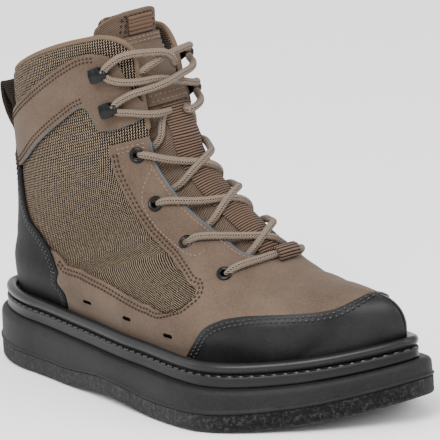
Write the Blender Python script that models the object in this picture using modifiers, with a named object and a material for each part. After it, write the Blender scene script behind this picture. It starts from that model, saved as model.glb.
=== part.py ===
"""A right wading boot with a felt sole: layered sole, hollow laced upper, tongue, insole and trim.

Metres, +X to the toe, +Y to the wearer's left (the inner side of a right foot), +Z up.
The origin is on the floor, under the middle of the heel.
"""
import math

import bmesh
import bpy
import numpy as np

# Driving dimensions
SOLE_LENGTH = 0.325
BALL_WIDTH = 0.130
HEEL_BACK = -0.062
COLLAR_HEIGHT = 0.212
TOE_SPRING = 0.0165
ARCH_RISE = 0.0035
HEEL_BEVEL = 0.002
FELT_THICKNESS = 0.010
SLAB_TOP_HEEL = 0.031
SLAB_TOP_TOE = 0.022
RAND_HEIGHT = 0.0072
INSOLE_THICKNESS = 0.0055
WALL = 0.0026
COLLAR_PADDING = 0.0085
COLLAR_BOW = 0.006
OVERLAY = 0.0014
COUNTER_THICKNESS = 0.0018
WELT_DIAMETER = 0.0066
THROAT_OUTER = 0.0195
THROAT_INNER = 0.0235
TONGUE_THICKNESS = 0.007
TONGUE_WIDTH = 0.062
LACE_DIAMETER = 0.0042
EYELET_DIAMETER = 0.009
EYELET_HOLE = 0.0046
HOOK_LENGTH = 0.0135
LOOP_WIDTH = 0.025
LOOP_THICKNESS = 0.0018
GAP = 0.0003
OVERLAY_GAP = 0.0008

# The outline of the sole: station along the length, then its centre and its half width
# as shares of the ball width.
OUTLINE = (
    (0.00, 0.000, 0.208),
    (0.15, 0.008, 0.285),
    (0.32, -0.031, 0.346),
    (0.50, -0.069, 0.419),
    (0.68, -0.069, 0.496),
    (0.85, 0.046, 0.419),
    (1.00, 0.108, 0.254),
)
HEEL_ROUND = 0.16
HEEL_POWER = 2.2
TOE_ROUND = 0.28
TOE_POWER = 2.3
ROUND_STEPS = 22
DENSE = 180

# Where the sole leaves the floor, as shares of its length.
ARCH_START = 0.27
ARCH_END = 0.58
SPRING_START = 0.715
BEVEL_END = 0.08

# How far the welt's outer edge lies inside the outline, at the heel and at the toe.
WELT_INSET_HEEL = 0.0050
WELT_INSET_TOE = 0.0082


def ease(rows, column):
    """A smooth curve through one column of a table, against its first column."""
    xs = np.array([row[0] for row in rows], float)
    ys = np.array([row[column] for row in rows], float)
    steps = np.diff(xs)
    slopes = np.diff(ys) / steps
    tangents = np.zeros(len(xs))
    tangents[0] = slopes[0]
    tangents[-1] = slopes[-1]
    for i in range(1, len(xs) - 1):
        if slopes[i - 1] * slopes[i] > 0:
            before = 2 * steps[i] + steps[i - 1]
            after = steps[i] + 2 * steps[i - 1]
            tangents[i] = (before + after) / (before / slopes[i - 1] + after / slopes[i])

    def value(x):
        x = np.clip(np.asarray(x, float), xs[0], xs[-1])
        i = np.clip(np.searchsorted(xs, x) - 1, 0, len(xs) - 2)
        h = steps[i]
        t = (x - xs[i]) / h
        return ((1 + 2 * t) * (1 - t) ** 2 * ys[i] + t * (1 - t) ** 2 * h * tangents[i]
                + t * t * (3 - 2 * t) * ys[i + 1] + t * t * (t - 1) * h * tangents[i + 1])

    return value


outline_centre = ease(OUTLINE, 1)
outline_half = ease(OUTLINE, 2)


def share_of(x):
    """Where x lies along the sole, 0 at the heel's back and 1 at the toe."""
    return (np.asarray(x, float) - HEEL_BACK) / SOLE_LENGTH


def x_at(share):
    return HEEL_BACK + share * SOLE_LENGTH


def rounding(share):
    """How much of its half width the outline keeps near the two round ends."""
    share = np.clip(share, 0, 1)
    heel = np.clip((HEEL_ROUND - share) / HEEL_ROUND, 0, 1)
    toe = np.clip((share - 1 + TOE_ROUND) / TOE_ROUND, 0, 1)
    heel_part = (1 - heel ** HEEL_POWER) ** (1 / HEEL_POWER)
    toe_part = (1 - toe ** TOE_POWER) ** (1 / TOE_POWER)
    return heel_part * toe_part


def forward_part(edge):
    """An edge of the plan without the points that turn back near its two ends."""
    kept = (edge[:, 0] > edge[0, 0] + 2e-5) & (edge[:, 0] < edge[-1, 0] - 2e-5)
    kept[0] = kept[-1] = True
    return edge[kept]


def cosine_steps(steps):
    """Shares from 0 to 1, closest at both ends."""
    return (1 - np.cos(np.linspace(0, math.pi, steps + 1))) / 2


def outline(inset_heel, inset_toe, steps=ROUND_STEPS):
    """Outer (lateral) and inner (medial) edge points from heel to toe, moved inward by an inset."""
    share = cosine_steps(DENSE)
    half = outline_half(share) * rounding(share) * BALL_WIDTH
    centre = outline_centre(share) * BALL_WIDTH
    x = x_at(share)
    lateral = np.stack([x, centre - half], 1)
    medial = np.stack([x, centre + half], 1)
    ring = np.concatenate([lateral, medial[-2:0:-1]])
    along = np.roll(ring, -1, 0) - np.roll(ring, 1, 0)
    along /= np.linalg.norm(along, axis=1)[:, None]
    outward = np.stack([along[:, 1], -along[:, 0]], 1)
    inset = inset_heel + (inset_toe - inset_heel) * share_of(ring[:, 0])
    ring = ring - outward * inset[:, None]
    lateral = forward_part(ring[:DENSE + 1])
    medial = forward_part(np.concatenate([ring[:1], ring[:DENSE - 1:-1]]))
    x = ring[0, 0] + (ring[DENSE, 0] - ring[0, 0]) * cosine_steps(steps)
    return tuple(np.stack([x, np.interp(x, edge[:, 0], edge[:, 1])], 1)
                 for edge in (lateral, medial))


def spring(x):
    start = x_at(SPRING_START)
    lift = np.clip((np.asarray(x, float) - start) / (x_at(1) - start), 0, 1)
    return TOE_SPRING * lift ** 2


def ground(x):
    """The underside of the sole: flat heel, arch, flat forefoot, toe spring."""
    share = share_of(x)
    arch = np.clip((share - ARCH_START) / (ARCH_END - ARCH_START), 0, 1)
    bevel = np.clip((BEVEL_END - share) / BEVEL_END, 0, 1)
    return spring(x) + ARCH_RISE * np.sin(math.pi * arch) ** 2 + HEEL_BEVEL * bevel ** 2


def slab_top(x):
    return SLAB_TOP_HEEL + (SLAB_TOP_TOE - SLAB_TOP_HEEL) * share_of(x) + spring(x)


def deck(x):
    """The top of the rand, on which the upper and the insole stand."""
    return slab_top(x) + RAND_HEIGHT


def felt_top(x):
    return ground(x) + FELT_THICKNESS


def material(name, colour, roughness, metallic=0.0):
    made = bpy.data.materials.new(name)
    made.use_nodes = True
    shader = made.node_tree.nodes["Principled BSDF"]
    shader.inputs["Base Color"].default_value = (*colour, 1.0)
    shader.inputs["Roughness"].default_value = roughness
    shader.inputs["Metallic"].default_value = metallic
    made.diffuse_color = (*colour, 1.0)
    return made


def add_mesh(name, vertices, faces, finish, merge=1e-6):
    """A mesh object in the boot's collection, with its doubles merged and its faces pointing out."""
    mesh = bpy.data.meshes.new(name)
    work = bmesh.new()
    made = [work.verts.new(tuple(v)) for v in vertices]
    for face in faces:
        corners = [made[i] for i in face]
        work.faces.new(corners)
    bmesh.ops.remove_doubles(work, verts=work.verts, dist=merge)
    bmesh.ops.dissolve_degenerate(work, edges=work.edges, dist=merge)
    bmesh.ops.recalc_face_normals(work, faces=work.faces)
    if work.calc_volume(signed=True) < 0:
        bmesh.ops.reverse_faces(work, faces=work.faces)
    work.to_mesh(mesh)
    work.free()
    mesh.materials.append(finish)
    mesh.shade_smooth()
    mesh.set_sharp_from_angle(angle=math.radians(40))
    obj = bpy.data.objects.new(name, mesh)
    boot.objects.link(obj)
    obj.parent = stand
    return obj


def stack(name, layers, finish):
    """A closed body from rings one above the other: inset at heel and toe, height function."""
    vertices = []
    ring_size = 2 * ROUND_STEPS
    for inset_heel, inset_toe, height in layers:
        lateral, medial = outline(inset_heel, inset_toe)
        ring = np.concatenate([lateral, medial[-2:0:-1]])
        vertices.extend((x, y, float(height(x))) for x, y in ring)
    faces = []
    for level in range(len(layers) - 1):
        low = level * ring_size
        high = low + ring_size
        for i in range(ring_size):
            after = (i + 1) % ring_size
            faces.append((low + i, low + after, high + after, high + i))
    top = (len(layers) - 1) * ring_size
    for i in range(ROUND_STEPS):
        left = (ring_size - i) % ring_size
        corners = list(dict.fromkeys([i, i + 1, ring_size - i - 1, left]))
        faces.append([top + k for k in corners])
        faces.append([k for k in reversed(corners)])
    return add_mesh(name, vertices, faces, finish)


def above(base, lift):
    """A height function a fixed lift over another one."""
    return lambda x: base(x) + lift


def make_felt():
    edge = 0.0008
    return stack("outsole_felt", (
        (edge + 0.0012, edge + 0.0012, ground),
        (edge, edge, above(ground, 0.0015)),
        (edge, edge, above(felt_top, 0)),
    ), felt)


# The side of the midsole slab: inset, height above its underside.
SLAB_FOOT = (
    (0.0014, 0.0000),
    (0.0002, 0.0005),
    (0.0000, 0.0018),
    (0.0010, 0.0024),
)
# The same above, counted down from its top.
SLAB_SHOULDER = (
    (0.0013, 0.0045),
    (0.0020, 0.0018),
    (0.0038, 0.0003),
    (0.0046, 0.0000),
)


def make_midsole():
    layers = []
    for inset, lift in SLAB_FOOT:
        layers.append((inset, inset, above(felt_top, GAP + lift)))
    for inset, drop in SLAB_SHOULDER:
        layers.append((inset, inset, above(slab_top, -drop)))
    return stack("midsole", layers, slab)


# The side of the rand: inset beyond the welt's edge, share of its height. Ridge, then channel.
RAND_SIDE = (
    (0.0004, 0.00),
    (0.0000, 0.20),
    (0.0000, 0.80),
    (0.0006, 0.90),
    (0.0013, 0.90),
    (0.0017, 0.74),
    (0.0030, 0.74),
    (0.0034, 1.00),
)


def make_rand():
    layers = []
    for inset, share in RAND_SIDE:
        lift = GAP + share * (RAND_HEIGHT - GAP)
        layers.append((WELT_INSET_HEEL + inset, WELT_INSET_TOE + inset, above(slab_top, lift)))
    return stack("rand", layers, rubber)


SKIN = OVERLAY_GAP + COUNTER_THICKNESS + 2 * GAP
UPPER_INSET_HEEL = WELT_INSET_HEEL + WELT_DIAMETER + GAP + SKIN
UPPER_INSET_TOE = WELT_INSET_TOE + WELT_DIAMETER + GAP + SKIN
UPPER_LIFT = 0.0015


def make_welt():
    """The rounded bead that runs all round, between the rand and the upper."""
    radius = WELT_DIAMETER / 2
    middle_heel = WELT_INSET_HEEL + radius
    middle_toe = WELT_INSET_TOE + radius
    sides = 6
    ring_size = 2 * ROUND_STEPS
    vertices = []
    for k in range(sides):
        turn = 2 * math.pi * (k + 0.5) / sides
        out = radius * math.cos(turn)
        lift = radius * (1 + math.sin(turn)) + GAP
        lateral, medial = outline(middle_heel - out, middle_toe - out)
        ring = np.concatenate([lateral, medial[-2:0:-1]])
        vertices.extend((x, y, float(deck(x)) + lift) for x, y in ring)
    faces = []
    for k in range(sides):
        low = k * ring_size
        high = ((k + 1) % sides) * ring_size
        for i in range(ring_size):
            after = (i + 1) % ring_size
            faces.append((low + i, low + after, high + after, high + i))
    return add_mesh("welt_bead", vertices, faces, rubber)


# The upper's sections. Each lies in a plane across the boot, from a low point on the back line
# or on the deck to a top point on the instep line. Columns: section number, low point's station,
# its height (0 where it stands on the deck), top point's station, its height, greatest width to
# the outer and to the inner side, where that width lies between low and top, roundness at the
# back, roundness of the outer and of the inner shoulder, and the ridge's shift to the inner side.
# Stations are shares of the sole's length, heights of the collar's, widths of the ball's width.
SECTIONS = (
    (0, 0.0850, 0.814, 0.4420, 1.000, 0.276, 0.254, 0.50, 2.2, 3.6, 2.3, 0.000),
    (1, 0.0850, 0.706, 0.4560, 0.887, 0.272, 0.250, 0.50, 2.2, 3.4, 2.4, 0.000),
    (2, 0.0860, 0.590, 0.4720, 0.778, 0.267, 0.242, 0.50, 2.2, 3.2, 2.7, 0.000),
    (3, 0.0830, 0.472, 0.4860, 0.665, 0.263, 0.234, 0.48, 2.2, 3.3, 3.0, 0.000),
    (4, 0.0760, 0.368, 0.5170, 0.596, 0.267, 0.242, 0.46, 2.3, 4.0, 3.5, 0.000),
    (5, 0.0590, 0.270, 0.5530, 0.545, 0.276, 0.250, 0.45, 2.6, 4.6, 4.0, 0.000),
    (6, 0.0455, 0.185, 0.5870, 0.510, 0.292, 0.250, 0.48, 3.2, 4.8, 4.2, 0.000),
    (7, 0.0680, 0.000, 0.6220, 0.479, 0.311, 0.250, 0.52, 3.2, 4.6, 4.0, 0.000),
    (8, 0.1600, 0.000, 0.6570, 0.448, 0.342, 0.250, 0.55, 3.2, 4.2, 3.6, 0.000),
    (9, 0.3000, 0.000, 0.6920, 0.416, 0.373, 0.257, 0.55, 3.2, 3.6, 3.0, 0.000),
    (10, 0.4520, 0.000, 0.7330, 0.382, 0.411, 0.288, 0.45, 3.2, 2.9, 2.4, 0.000),
    (11, 0.6060, 0.000, 0.7820, 0.356, 0.438, 0.311, 0.30, 3.2, 2.4, 2.2, 0.015),
    (12, 0.7290, 0.000, 0.8350, 0.342, 0.418, 0.326, 0.20, 3.2, 2.3, 2.2, 0.031),
    (13, 0.8000, 0.000, 0.8820, 0.338, 0.336, 0.322, 0.15, 3.2, 2.3, 2.3, 0.046),
    (14, 0.8000, 0.000, 0.9230, 0.336, 0.330, 0.316, 0.12, 3.2, 2.3, 2.3, 0.058),
    (15, 0.8000, 0.000, 0.9500, 0.314, 0.328, 0.314, 0.10, 3.2, 2.3, 2.3, 0.069),
    (16, 0.8000, 0.000, 0.9590, 0.262, 0.328, 0.314, 0.08, 3.2, 2.3, 2.3, 0.085),
    (17, 0.8000, 0.000, 0.9450, 0.216, 0.328, 0.314, 0.08, 3.2, 2.3, 2.3, 0.098),
    (18, 0.8000, 0.000, 0.9440, 0.197, 0.328, 0.314, 0.08, 3.2, 2.3, 2.3, 0.108),
)
HEEL_SECTION = 6
PIVOT = 13
LAST = SECTIONS[-1][0]
THROAT_END = 9.35
FOOT_HEIGHT = 0.032
section_columns = [ease(SECTIONS, k) for k in range(1, len(SECTIONS[0]))]


def feather(x, side):
    """Where the upper's outer face meets the deck at x, on side -1 (outer) or +1 (inner)."""
    edge = FEATHER[0] if side < 0 else FEATHER[1]
    return np.interp(x, edge[:, 0], edge[:, 1])


def back_line(z):
    """How far back the upper reaches at a height."""
    rows = SECTIONS[HEEL_SECTION::-1]
    heights = [row[2] * COLLAR_HEIGHT for row in rows]
    heights[0] = float(deck(x_at(rows[0][1])))
    return np.interp(z, heights, [x_at(row[1]) for row in rows])


def front_line(z):
    """How far forward the toe reaches at a height."""
    rows = SECTIONS[LAST:PIVOT - 1:-1]
    heights = [row[4] * COLLAR_HEIGHT for row in rows]
    heights[0] = float(deck(FEATHER[0][-1, 0])) + UPPER_LIFT
    stations = [x_at(row[3]) for row in rows]
    stations[0] = FEATHER[0][-1, 0]
    return np.interp(z, heights, stations)


def toe_form(x, z, t, ridge, power, side):
    """The toe box: the plan of the deck carried up, drawn in towards the ridge line."""
    pivot = x_at(SECTIONS[PIVOT][1])
    end = FEATHER[0][-1, 0]
    front = front_line(z) + (x[-1] - front_line(z[-1])) * t
    plan = pivot + (x - pivot) * (end - pivot) / (front - pivot)
    plan = np.where(x < pivot, x, plan)
    centre = (feather(plan, -1) + feather(plan, 1)) / 2
    half = (feather(plan, 1) - feather(plan, -1)) / 2
    floor = deck(x) + UPPER_LIFT
    top = max(SECTIONS[PIVOT][4] * COLLAR_HEIGHT, z[-1])
    height = np.clip((z - floor) / (top - floor), 0, 1)
    middle = centre + (ridge - centre) * height ** 2
    return middle + side * half * (1 - height ** power) ** 0.5


def section_curve(number, side):
    """One side of a section, from its low end to the ridge, as dense points."""
    (low_share, low_height, top_share, top_height, outer, inner, widest, back_power,
     outer_power, inner_power, shift) = [float(column(number)) for column in section_columns]
    low_x = x_at(low_share)
    floor_z = float(deck(low_x)) + UPPER_LIFT
    low_z = floor_z if number >= HEEL_SECTION else max(floor_z, low_height * COLLAR_HEIGHT)
    top_x = x_at(top_share)
    if number > LAST - 1:
        top_x += (FEATHER[0][-1, 0] - x_at(SECTIONS[-1][3])) * (number - LAST + 1)
    top_floor = float(deck(top_x)) + UPPER_LIFT
    top_z = max(top_height * COLLAR_HEIGHT, top_floor)
    ridge = shift * BALL_WIDTH
    power = outer_power if side < 0 else inner_power
    width = (outer if side < 0 else inner) * BALL_WIDTH + (ridge if side < 0 else -ridge)
    t = cosine_steps(DENSE)
    x = low_x + (top_x - low_x) * t
    z = low_z + (top_z - low_z) * t
    fan = np.clip((number - PIVOT) / (LAST - PIVOT), 0, 1) ** 1.6
    z = z + fan * (deck(x) + UPPER_LIFT - floor_z - (top_floor - floor_z) * t)
    middle = low_x + (top_x - low_x) * widest
    back = back_line(z) + (low_x - back_line(low_z) if number < HEEL_SECTION else 0.0)
    rear = np.clip((middle - x) / (middle - back), 0, 1)
    over = np.clip((t - widest) / (1 - widest), 0, 1)
    dome = (1 - over ** power) ** 0.5
    body = width * (1 - rear ** back_power) ** 0.5 * dome
    end = FEATHER[0][0, 0]
    foot_x = np.where(x < middle, middle - rear * (middle - end), x)
    foot = np.abs(feather(foot_x, side) - ridge)
    reach = max(1e-4, min(FOOT_HEIGHT, 0.75 * (top_z - top_floor)))
    rise = np.clip((z - deck(x) - UPPER_LIFT) / reach, 0, 1)
    blend = rise * rise * (3 - 2 * rise)
    y = ridge + side * (foot + (body - foot) * blend)
    toe = np.clip((number - PIVOT + 1) / 2, 0, 1)
    if toe > 0:
        y = y + toe * (toe_form(x, z, t, ridge, power, side) - y)
    bow = COLLAR_BOW * max(0.0, 1 - number / 3)
    z = z + bow * np.sin(math.pi * t)
    return np.stack([x, y, z], 1)


def collar_side(side):
    """The collar's width on one side of the ridge."""
    outer, inner, shift = [float(section_columns[k](0.0)) for k in (4, 5, 10)]
    return (outer + shift if side < 0 else inner - shift) * BALL_WIDTH


# How far the throat's edge turns out at the collar: a share of the collar's side beside it.
COLLAR_CORNER_OUTER = 0.6105
COLLAR_CORNER_INNER = 0.8403


def throat_half(number, side):
    """Half the throat's width at a section: rounded at the collar, round at its lower end."""
    if number >= THROAT_END:
        return 0.0
    half = THROAT_OUTER if side < 0 else THROAT_INNER
    corner = COLLAR_CORNER_OUTER if side < 0 else COLLAR_CORNER_INNER
    depth = 0.6 if side < 0 else 1.0
    flare = corner * (collar_side(side) - half) * max(0.0, 1 - number / depth) ** 2
    end = min(1.0, (THROAT_END - number) / 1.1)
    return half * math.sqrt(1 - (1 - end) ** 2) + flare


def section_points(number, side, shares, reach=None):
    """Points of one side at shares of the arc, from the low end to the throat's edge or the ridge."""
    curve = section_curve(number, side)
    length = np.concatenate([[0], np.cumsum(np.linalg.norm(np.diff(curve, axis=0), axis=1))])
    limit = length[-1]
    half = throat_half(number, side) if reach is None else reach
    if half > 0:
        width = np.abs(curve[:, 1] - curve[-1, 1])
        beyond = np.nonzero(width >= half)[0][-1]
        part = (width[beyond] - half) / max(width[beyond] - width[beyond + 1], 1e-12)
        limit = length[beyond] + part * (length[beyond + 1] - length[beyond])
    at = np.asarray(shares) * limit
    return np.stack([np.interp(at, length, curve[:, k]) for k in range(3)], 1)


# Section numbers of the upper's rows, closer where the throat and the toe turn.
ROWS = [0, 0.25, 0.6, 1.0, 1.5, 2.0, 2.7, 3.4, 4.1, 4.8, 5.4, 6.0, 6.5, 7.2, 8.0, 8.6, 9.1,
        THROAT_END, 9.7, 10.0, 10.5, 11.1, 11.7, 12.3, 12.8, 13.3, 13.8, 14.4, 15.2, 16.0, 17.0, LAST]
COLUMNS = [0, 0.08, 0.18, 0.29, 0.40, 0.52, 0.64, 0.76, 0.87, 0.95, 1.0]


def patch(rows, columns, place, keep=None):
    """Points and faces of a piece of the upper's surface, on both sides.

    place(number, share) moves a grid point to the patch's edge where it lies outside, and
    keep(number, share) says whether the face that starts at a grid point belongs to the patch.
    """
    vertices = []
    for number in rows:
        for side in (-1, 1):
            for share in columns:
                at, part = place(number, share)
                vertices.append(section_points(at, side, [part])[0])
    faces = []
    width = len(columns)
    for row in range(len(rows) - 1):
        for side in (0, 1):
            base = (2 * row + side) * width
            after = base + 2 * width
            for k in range(width - 1):
                if keep is None or keep(rows[row], columns[k]):
                    faces.append((base + k, base + k + 1, after + k + 1, after + k))
    return vertices, faces


def solidify(obj, thickness, offset, group=None):
    """A wall on an open surface, inward with offset -1 and outward with +1."""
    wall = obj.modifiers.new("wall", "SOLIDIFY")
    wall.thickness = thickness
    wall.offset = offset
    wall.use_quality_normals = True
    if group:
        wall.vertex_group = group.name
        wall.thickness_vertex_group = WALL / thickness
    return wall


def make_upper():
    vertices, faces = patch(ROWS, COLUMNS, lambda number, share: (number, share))
    obj = add_mesh("upper", vertices, faces, mesh_cloth)
    group = obj.vertex_groups.new(name="padding")
    back, front = section_points(0, -1, [0.0, 1.0])
    slope = (front[2] - back[2]) / (front[0] - back[0])
    for v in obj.data.vertices:
        below = back[2] + slope * (v.co.x - back[0]) - v.co.z
        behind = np.clip((x_at(0.36) - v.co.x) / 0.025, 0, 1)
        near_top = np.clip(1 - (below - 0.012) / 0.035, 0, 1)
        group.add([v.index], float(near_top * behind), "REPLACE")
    solidify(obj, COLLAR_PADDING, -1, group)
    return obj


# The front edge of the heel counter: section, share of the arc from the back line.
COUNTER_EDGE = (
    (1.70, 0.000),
    (1.85, 0.100),
    (2.05, 0.190),
    (2.60, 0.220),
    (3.20, 0.250),
    (3.80, 0.295),
    (4.40, 0.370),
    (5.10, 0.420),
    (6.00, 0.435),
    (7.00, 0.360),
    (7.70, 0.280),
    (8.20, 0.160),
    (8.65, 0.000),
)
# The rear edge of the toe cap: share of the arc, section.
CAP_EDGE = (
    (0.00, 11.15),
    (0.18, 11.00),
    (0.35, 10.88),
    (0.43, 11.00),
    (0.47, 11.25),
    (0.53, 12.05),
    (0.59, 12.60),
    (0.72, 13.20),
    (0.93, 13.45),
    (1.00, 13.47),
)
# The lower and the upper edge of the mesh panel: section, share of the arc.
PANEL_FOOT = (
    (5.10, 0.440),
    (5.50, 0.480),
    (6.50, 0.475),
    (7.60, 0.458),
    (8.75, 0.417),
    (9.10, 0.399),
    (9.35, 0.366),
    (9.70, 0.362),
    (9.90, 0.378),
    (10.0, 0.415),
)
PANEL_HEAD = (
    (2.45, 0.821),
    (4.65, 0.825),
    (6.10, 0.829),
    (7.70, 0.792),
    (8.65, 0.754),
    (9.10, 0.706),
    (9.35, 0.636),
    (9.50, 0.610),
    (9.80, 0.530),
    (9.95, 0.460),
    (10.0, 0.415),
)
PANEL_END = PANEL_FOOT[-1][0]
# The collar strap's upper and lower edge: share of the arc, section.
STRAP_HEAD = (
    (0.00, 1.25),
    (0.31, 0.90),
    (0.46, 0.70),
    (0.64, 0.45),
    (0.80, 0.30),
    (0.85, 0.34),
    (0.90, 0.46),
    (0.93, 0.75),
    (0.96, 1.30),
    (1.00, 1.70),
)
STRAP_FOOT = (
    (0.00, 1.66),
    (0.10, 1.81),
    (0.19, 2.00),
    (0.215, 2.35),
    (0.43, 1.95),
    (0.59, 1.66),
    (0.74, 1.45),
    (0.77, 1.75),
    (0.79, 2.08),
    (0.88, 2.12),
    (1.00, 2.00),
)
EDGE_STEP = 0.006
CAP_GAP = 0.10
counter_edge = ease(COUNTER_EDGE, 1)
cap_edge = ease(CAP_EDGE, 1)
panel_foot = ease(PANEL_FOOT, 1)
panel_head = ease(PANEL_HEAD, 1)
strap_head = ease(STRAP_HEAD, 1)
strap_foot = ease(STRAP_FOOT, 1)


def overlay(name, thickness, rows, columns, place, finish, keep=None, gap=OVERLAY_GAP):
    """A thin piece that lies on the upper, a small gap over it."""
    vertices, faces = patch(rows, columns, place, keep)
    obj = add_mesh(name, vertices, faces, finish, merge=2e-5)
    lift = obj.modifiers.new("lift", "DISPLACE")
    lift.strength = gap
    lift.mid_level = 0.0
    solidify(obj, thickness, 1)
    return obj


def make_counter():
    rows = [COUNTER_EDGE[0][0], 1.85] + [n for n in ROWS if 2 <= n < 8.5] + [8.3, COUNTER_EDGE[-1][0]]

    def place(number, share):
        return number, min(share, float(counter_edge(number)))

    return overlay("heel_counter", COUNTER_THICKNESS, rows, COLUMNS, place, black_leather)


def make_toe_cap():
    rows = [10.85] + [n for n in ROWS if n > 11]
    columns = sorted(COLUMNS + [0.46])

    def place(number, share):
        return max(number, float(cap_edge(share))), share

    return overlay("toe_cap", COUNTER_THICKNESS, rows, columns, place, black_leather)


def make_leather():
    rows = sorted([PANEL_HEAD[0][0], PANEL_FOOT[0][0]]
                  + [n for n in ROWS if PANEL_HEAD[0][0] < n < 13.8])
    columns = sorted(COLUMNS + [0.46])

    def place(number, share):
        if number <= PANEL_END:
            if share < 0.47:
                low = float(counter_edge(number))
                low = low + EDGE_STEP if low > 0 else 0.0
                high = max(low, float(panel_foot(number)))
                return number, min(max(share, low), high)
            return number, max(share, float(panel_head(number)))
        return min(number, float(cap_edge(share)) - CAP_GAP), share

    def keep(number, share):
        if number >= PANEL_END:
            return True
        if share == 0.46:
            return False
        return share > 0.47 or number >= PANEL_FOOT[0][0]

    return overlay("leather_vamp_and_quarters", OVERLAY, rows, columns, place, nubuck, keep,
                   OVERLAY_GAP + GAP)


def make_strap():
    rows = [0.25, 0.6, 1.0, 1.5, 2.0, 2.35]
    columns = sorted(COLUMNS + [0.215, 0.77, 0.79, 0.88, 0.96])

    def place(number, share):
        return min(max(number, float(strap_head(share))), float(strap_foot(share))), share

    return overlay("collar_strap", OVERLAY, rows, columns, place, nubuck)


def wrap_point(number, around):
    """The point at an arc length around from the ridge, to the inner side where it is positive."""
    curve = section_curve(number, 1 if around >= 0 else -1)
    length = np.concatenate([[0], np.cumsum(np.linalg.norm(np.diff(curve, axis=0), axis=1))])
    at = length[-1] - abs(around)
    return np.array([np.interp(at, length, curve[:, k]) for k in range(3)])


def front_frame(number, around):
    """The point at an arc length from the ridge, and the outward normal there."""
    step = 0.15
    here = wrap_point(number, around)
    along = wrap_point(number + step, around) - wrap_point(max(number - step, 0), around)
    over = wrap_point(number, around + 0.001) - wrap_point(number, around - 0.001)
    normal = np.cross(along, over)
    return here, normal / np.linalg.norm(normal)


# The upper part of the tongue, which bends back on its own round form: level, the middle's
# station and height, the turn to each edge in degrees, the radius to the outer and to the inner
# side, the depth of the bend. Levels below 0 stand over the collar. Lengths are shares of the
# tongue's width.
TONGUE_TOP = (
    (-1.00, 0.383, 1.040, 20, 0.52, 0.46, 0.52),
    (-0.80, 0.383, 1.032, 38, 0.52, 0.46, 0.52),
    (-0.45, 0.383, 1.010, 55, 0.52, 0.46, 0.52),
    (0.00, 0.383, 0.967, 58, 0.52, 0.45, 0.52),
    (1.00, 0.412, 0.892, 58, 0.49, 0.43, 0.55),
    (2.00, 0.458, 0.790, 56, 0.44, 0.40, 0.65),
)
TONGUE_LEAN = math.radians(18)
TONGUE_SPLIT = 2.6
# The lower part, under the eyestays: section, how far it lies inside the upper's form, how high
# its middle rises, its half width as a share of its greatest.
TONGUE = (
    (2.6, 0.0045, 0.0085, 0.96),
    (5.0, 0.0042, 0.0095, 0.92),
    (7.0, 0.0042, 0.0085, 0.88),
    (8.5, 0.0042, 0.0055, 0.84),
    (9.0, 0.0044, 0.0025, 0.82),
    (9.3, 0.0047, 0.0000, 0.80),
    (9.9, 0.0046, 0.0000, 0.76),
)
TONGUE_MIDDLE = 0.002
tongue_station = ease(TONGUE_TOP, 1)
tongue_height = ease(TONGUE_TOP, 2)
tongue_turn = ease(TONGUE_TOP, 3)
tongue_outer = ease(TONGUE_TOP, 4)
tongue_inner = ease(TONGUE_TOP, 5)
tongue_depth = ease(TONGUE_TOP, 6)
tongue_inset = ease(TONGUE, 1)
tongue_rise = ease(TONGUE, 2)
tongue_half = ease(TONGUE, 3)


def tongue_radius(level, side):
    return float((tongue_outer if side < 0 else tongue_inner)(level)) * TONGUE_WIDTH


def tongue_face(level, around, lift=0.0):
    """A point of the tongue's outer face: its level, and the arc length from its middle."""
    top = TONGUE_TOP[-1][0]
    if level <= top:
        radius = tongue_radius(level, around)
        turn = around / radius
        depth = float(tongue_depth(level)) * TONGUE_WIDTH
        back = depth * (math.cos(turn) - 1) + lift * math.cos(turn)
        return np.array([x_at(float(tongue_station(level))) + back * math.cos(TONGUE_LEAN),
                         TONGUE_MIDDLE + (radius + lift) * math.sin(turn),
                         float(tongue_height(level)) * COLLAR_HEIGHT + back * math.sin(TONGUE_LEAN)])
    if level < TONGUE_SPLIT:
        part = (level - top) / (TONGUE_SPLIT - top)
        return ((1 - part) * tongue_face(top, around, lift)
                + part * tongue_face(TONGUE_SPLIT, around, lift))
    point, normal = front_frame(level, TONGUE_MIDDLE + around)
    room = THROAT_OUTER - 0.001
    bump = max(0.0, 1 - (around / room) ** 2) ** 1.2
    return point + normal * (float(tongue_rise(level)) * bump - float(tongue_inset(level)) + lift)


def tongue_reach(level, side):
    """The arc length from the tongue's middle to its edge on a side."""
    if level <= TONGUE_TOP[-1][0]:
        return tongue_radius(level, side) * math.radians(float(tongue_turn(level)))
    return TONGUE_WIDTH / 2 * float(tongue_half(level))


def make_tongue():
    shares = [math.sin(math.radians(turn)) for turn in np.linspace(-90, 90, 9)]
    levels = [-1.0, -0.8, -0.45, 0.0, 0.6, 1.3, 2.0, 2.6, 3.4, 4.1, 4.8, 5.5, 6.2, 6.9, 7.6,
              8.2, 8.7, 9.2, 9.9]
    grid = [[tongue_face(level, share * tongue_reach(level, share)) for share in shares]
            for level in levels]
    obj = strip("tongue", grid, tongue_cloth)
    solidify(obj, TONGUE_THICKNESS, -1)
    return obj


def strip(name, grid, finish):
    """An open surface through rows of points."""
    width = len(grid[0])
    vertices = [point for row in grid for point in row]
    faces = []
    for row in range(len(grid) - 1):
        for k in range(width - 1):
            base = row * width + k
            faces.append((base, base + 1, base + 1 + width, base + width))
    return add_mesh(name, vertices, faces, finish)


def tongue_trim(name, rows, half_width, thickness, finish):
    """A flat piece sewn along the middle of the tongue. Rows: level, share of its half width."""
    shares = (-1.0, -0.5, 0.0, 0.5, 1.0)
    grid = [[tongue_face(level, half_width * narrow * share, TRIM_LIFT) for share in shares]
            for level, narrow in rows]
    obj = strip(name, grid, finish)
    solidify(obj, thickness, 1)
    return obj


WEBBING_THICKNESS = 0.0016
TRIM_LIFT = 0.0006
TAB_HALF = 0.010
PANEL_HALF = 0.0165
WEBBING_HALF = 0.0105


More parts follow.
